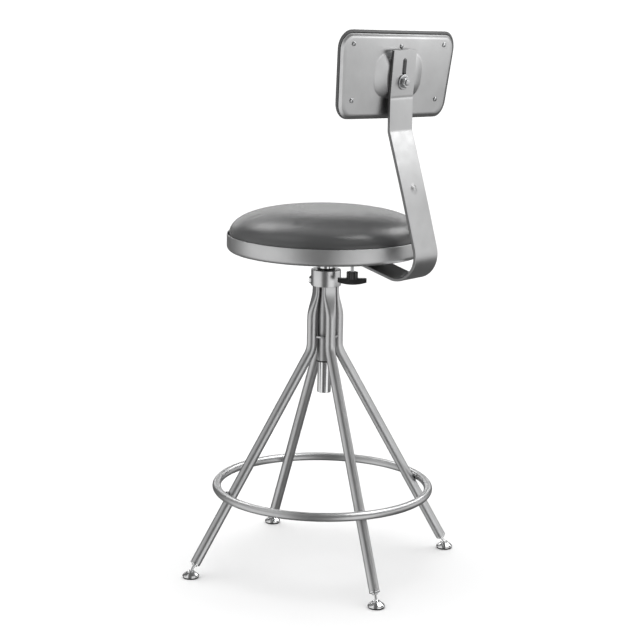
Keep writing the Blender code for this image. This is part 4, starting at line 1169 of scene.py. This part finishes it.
def light_box(nodes, azimuth, elevation, centre, half_width, low, high, soft, strength):
    """A soft-edged panel of light in the sky, by its azimuth and elevation in degrees."""
    off = nodes.math("SUBTRACT", azimuth, centre)
    turned = nodes.math("SUBTRACT", nodes.math("FLOORED_MODULO", nodes.math("ADD", off, 180.0), 360.0), 180.0)
    across = nodes.between(nodes.math("ABSOLUTE", turned), half_width + soft, half_width - soft, smooth=True)
    above = nodes.between(elevation, low - soft, low + soft, smooth=True)
    below = nodes.between(elevation, high + soft, high - soft, smooth=True)
    shape = nodes.math("MULTIPLY", across, nodes.math("MULTIPLY", above, below))
    return nodes.math("MULTIPLY", shape, strength)


STUDIO_BASE = 0.19
STUDIO_BOXES = [
    # centre azimuth, half width, lowest and highest elevation, softness, strength
    (-31, 39, -60, 10, 8, 1.15),
    (-31, 42, 8, 40, 8, 0.6),
    (-34, 30, 40, 68, 8, 1.2),
    (83, 26, -60, 12, 8, 1.35),
    (142, 32, -15, 20, 5, 1.05),
    (142, 30, 6, 20, 5, 0.2),
    (115, 55, 38, 56, 8, 0.9),
    (146, 24, 56, 74, 4, 13.0),
    (-112, 15, 36, 46, 4, 8.0),
    (182, 13, 31, 42, 4, 9.0),
    (224, 24, 5, 16, 4, 1.9),
    (221, 50, 50, 80, 10, 1.0),
]


def make_lights():
    world = bpy.data.worlds.new("studio")
    bpy.context.scene.world = world
    world.use_nodes = True
    world.node_tree.nodes.clear()
    nodes = Nodes(world.node_tree)
    direction = nodes.add("TexCoord").outputs["Generated"]
    parts = nodes.add("SeparateXYZ", Vector=direction).outputs
    azimuth = nodes.math("MULTIPLY", nodes.math("ARCTAN2", parts["Y"], parts["X"]), 180 / pi)
    elevation = nodes.math("MULTIPLY", nodes.math("ARCSINE", parts["Z"]), 180 / pi)
    total = STUDIO_BASE
    for centre, half_width, low, high, soft, strength in STUDIO_BOXES:
        box = light_box(nodes, azimuth, elevation, centre, half_width, low, high, soft, strength)
        total = nodes.math("ADD", total, box)
    mirrored = nodes.add("Background", Strength=total)
    plain = nodes.add("Background", Color=(1, 1, 1, 1), Strength=0.72)
    backdrop = nodes.add("Background", Color=(1, 1, 1, 1), Strength=1.0)
    path = nodes.add("LightPath").outputs
    shown = plain.outputs[0]
    for ray, other in (("Is Glossy Ray", mirrored), ("Is Camera Ray", backdrop)):
        shown = nodes.add("MixShader", Fac=path[ray], in1=shown, in2=other.outputs[0]).outputs[0]
    nodes.add("OutputWorld", Surface=shown)

    data = bpy.data.lights.new("overhead_sun", "SUN")
    data.energy = 1.75
    data.angle = radians(75)
    sun = bpy.data.objects.new("overhead_sun", data)
    sun.rotation_euler = (radians(8), radians(-6), 0)
    sun.visible_glossy = False
    bpy.context.scene.collection.objects.link(sun)

    data = bpy.data.lights.new("near_softbox", "AREA")
    data.shape = "SQUARE"
    data.size = 0.26
    data.energy = 0.38
    near = bpy.data.objects.new("near_softbox", data)
    bar_top = Vector((0, 0.169, 0.835))
    near.location = Vector((-0.41, 0.50, 1.06))
    near.rotation_euler = (bar_top - near.location).to_track_quat("-Z", "Y").to_euler()
    near.visible_camera = False
    bpy.context.scene.collection.objects.link(near)


make_legs()
make_foot_ring()
make_welds()
for number in range(4):
    make_glide(number)
make_collar()
make_spacer_plate()
make_lock_screw()
make_post()
make_swivel_plate()
make_seat_pan()
make_seat_cushion()
make_bar_guide()
make_wing_knob()
make_back_bar()
make_back_panel()
make_back_cushion()
make_back_fasteners()
for node, obj in frame["nodes"].items():
    if not obj.hide_render:
        obj.data.materials.clear()
        obj.data.materials.append(LOOKS[SLOT_OF[node]])

make_floor()
make_camera()
make_lights()
bpy.context.scene.view_settings.view_transform = "Standard"
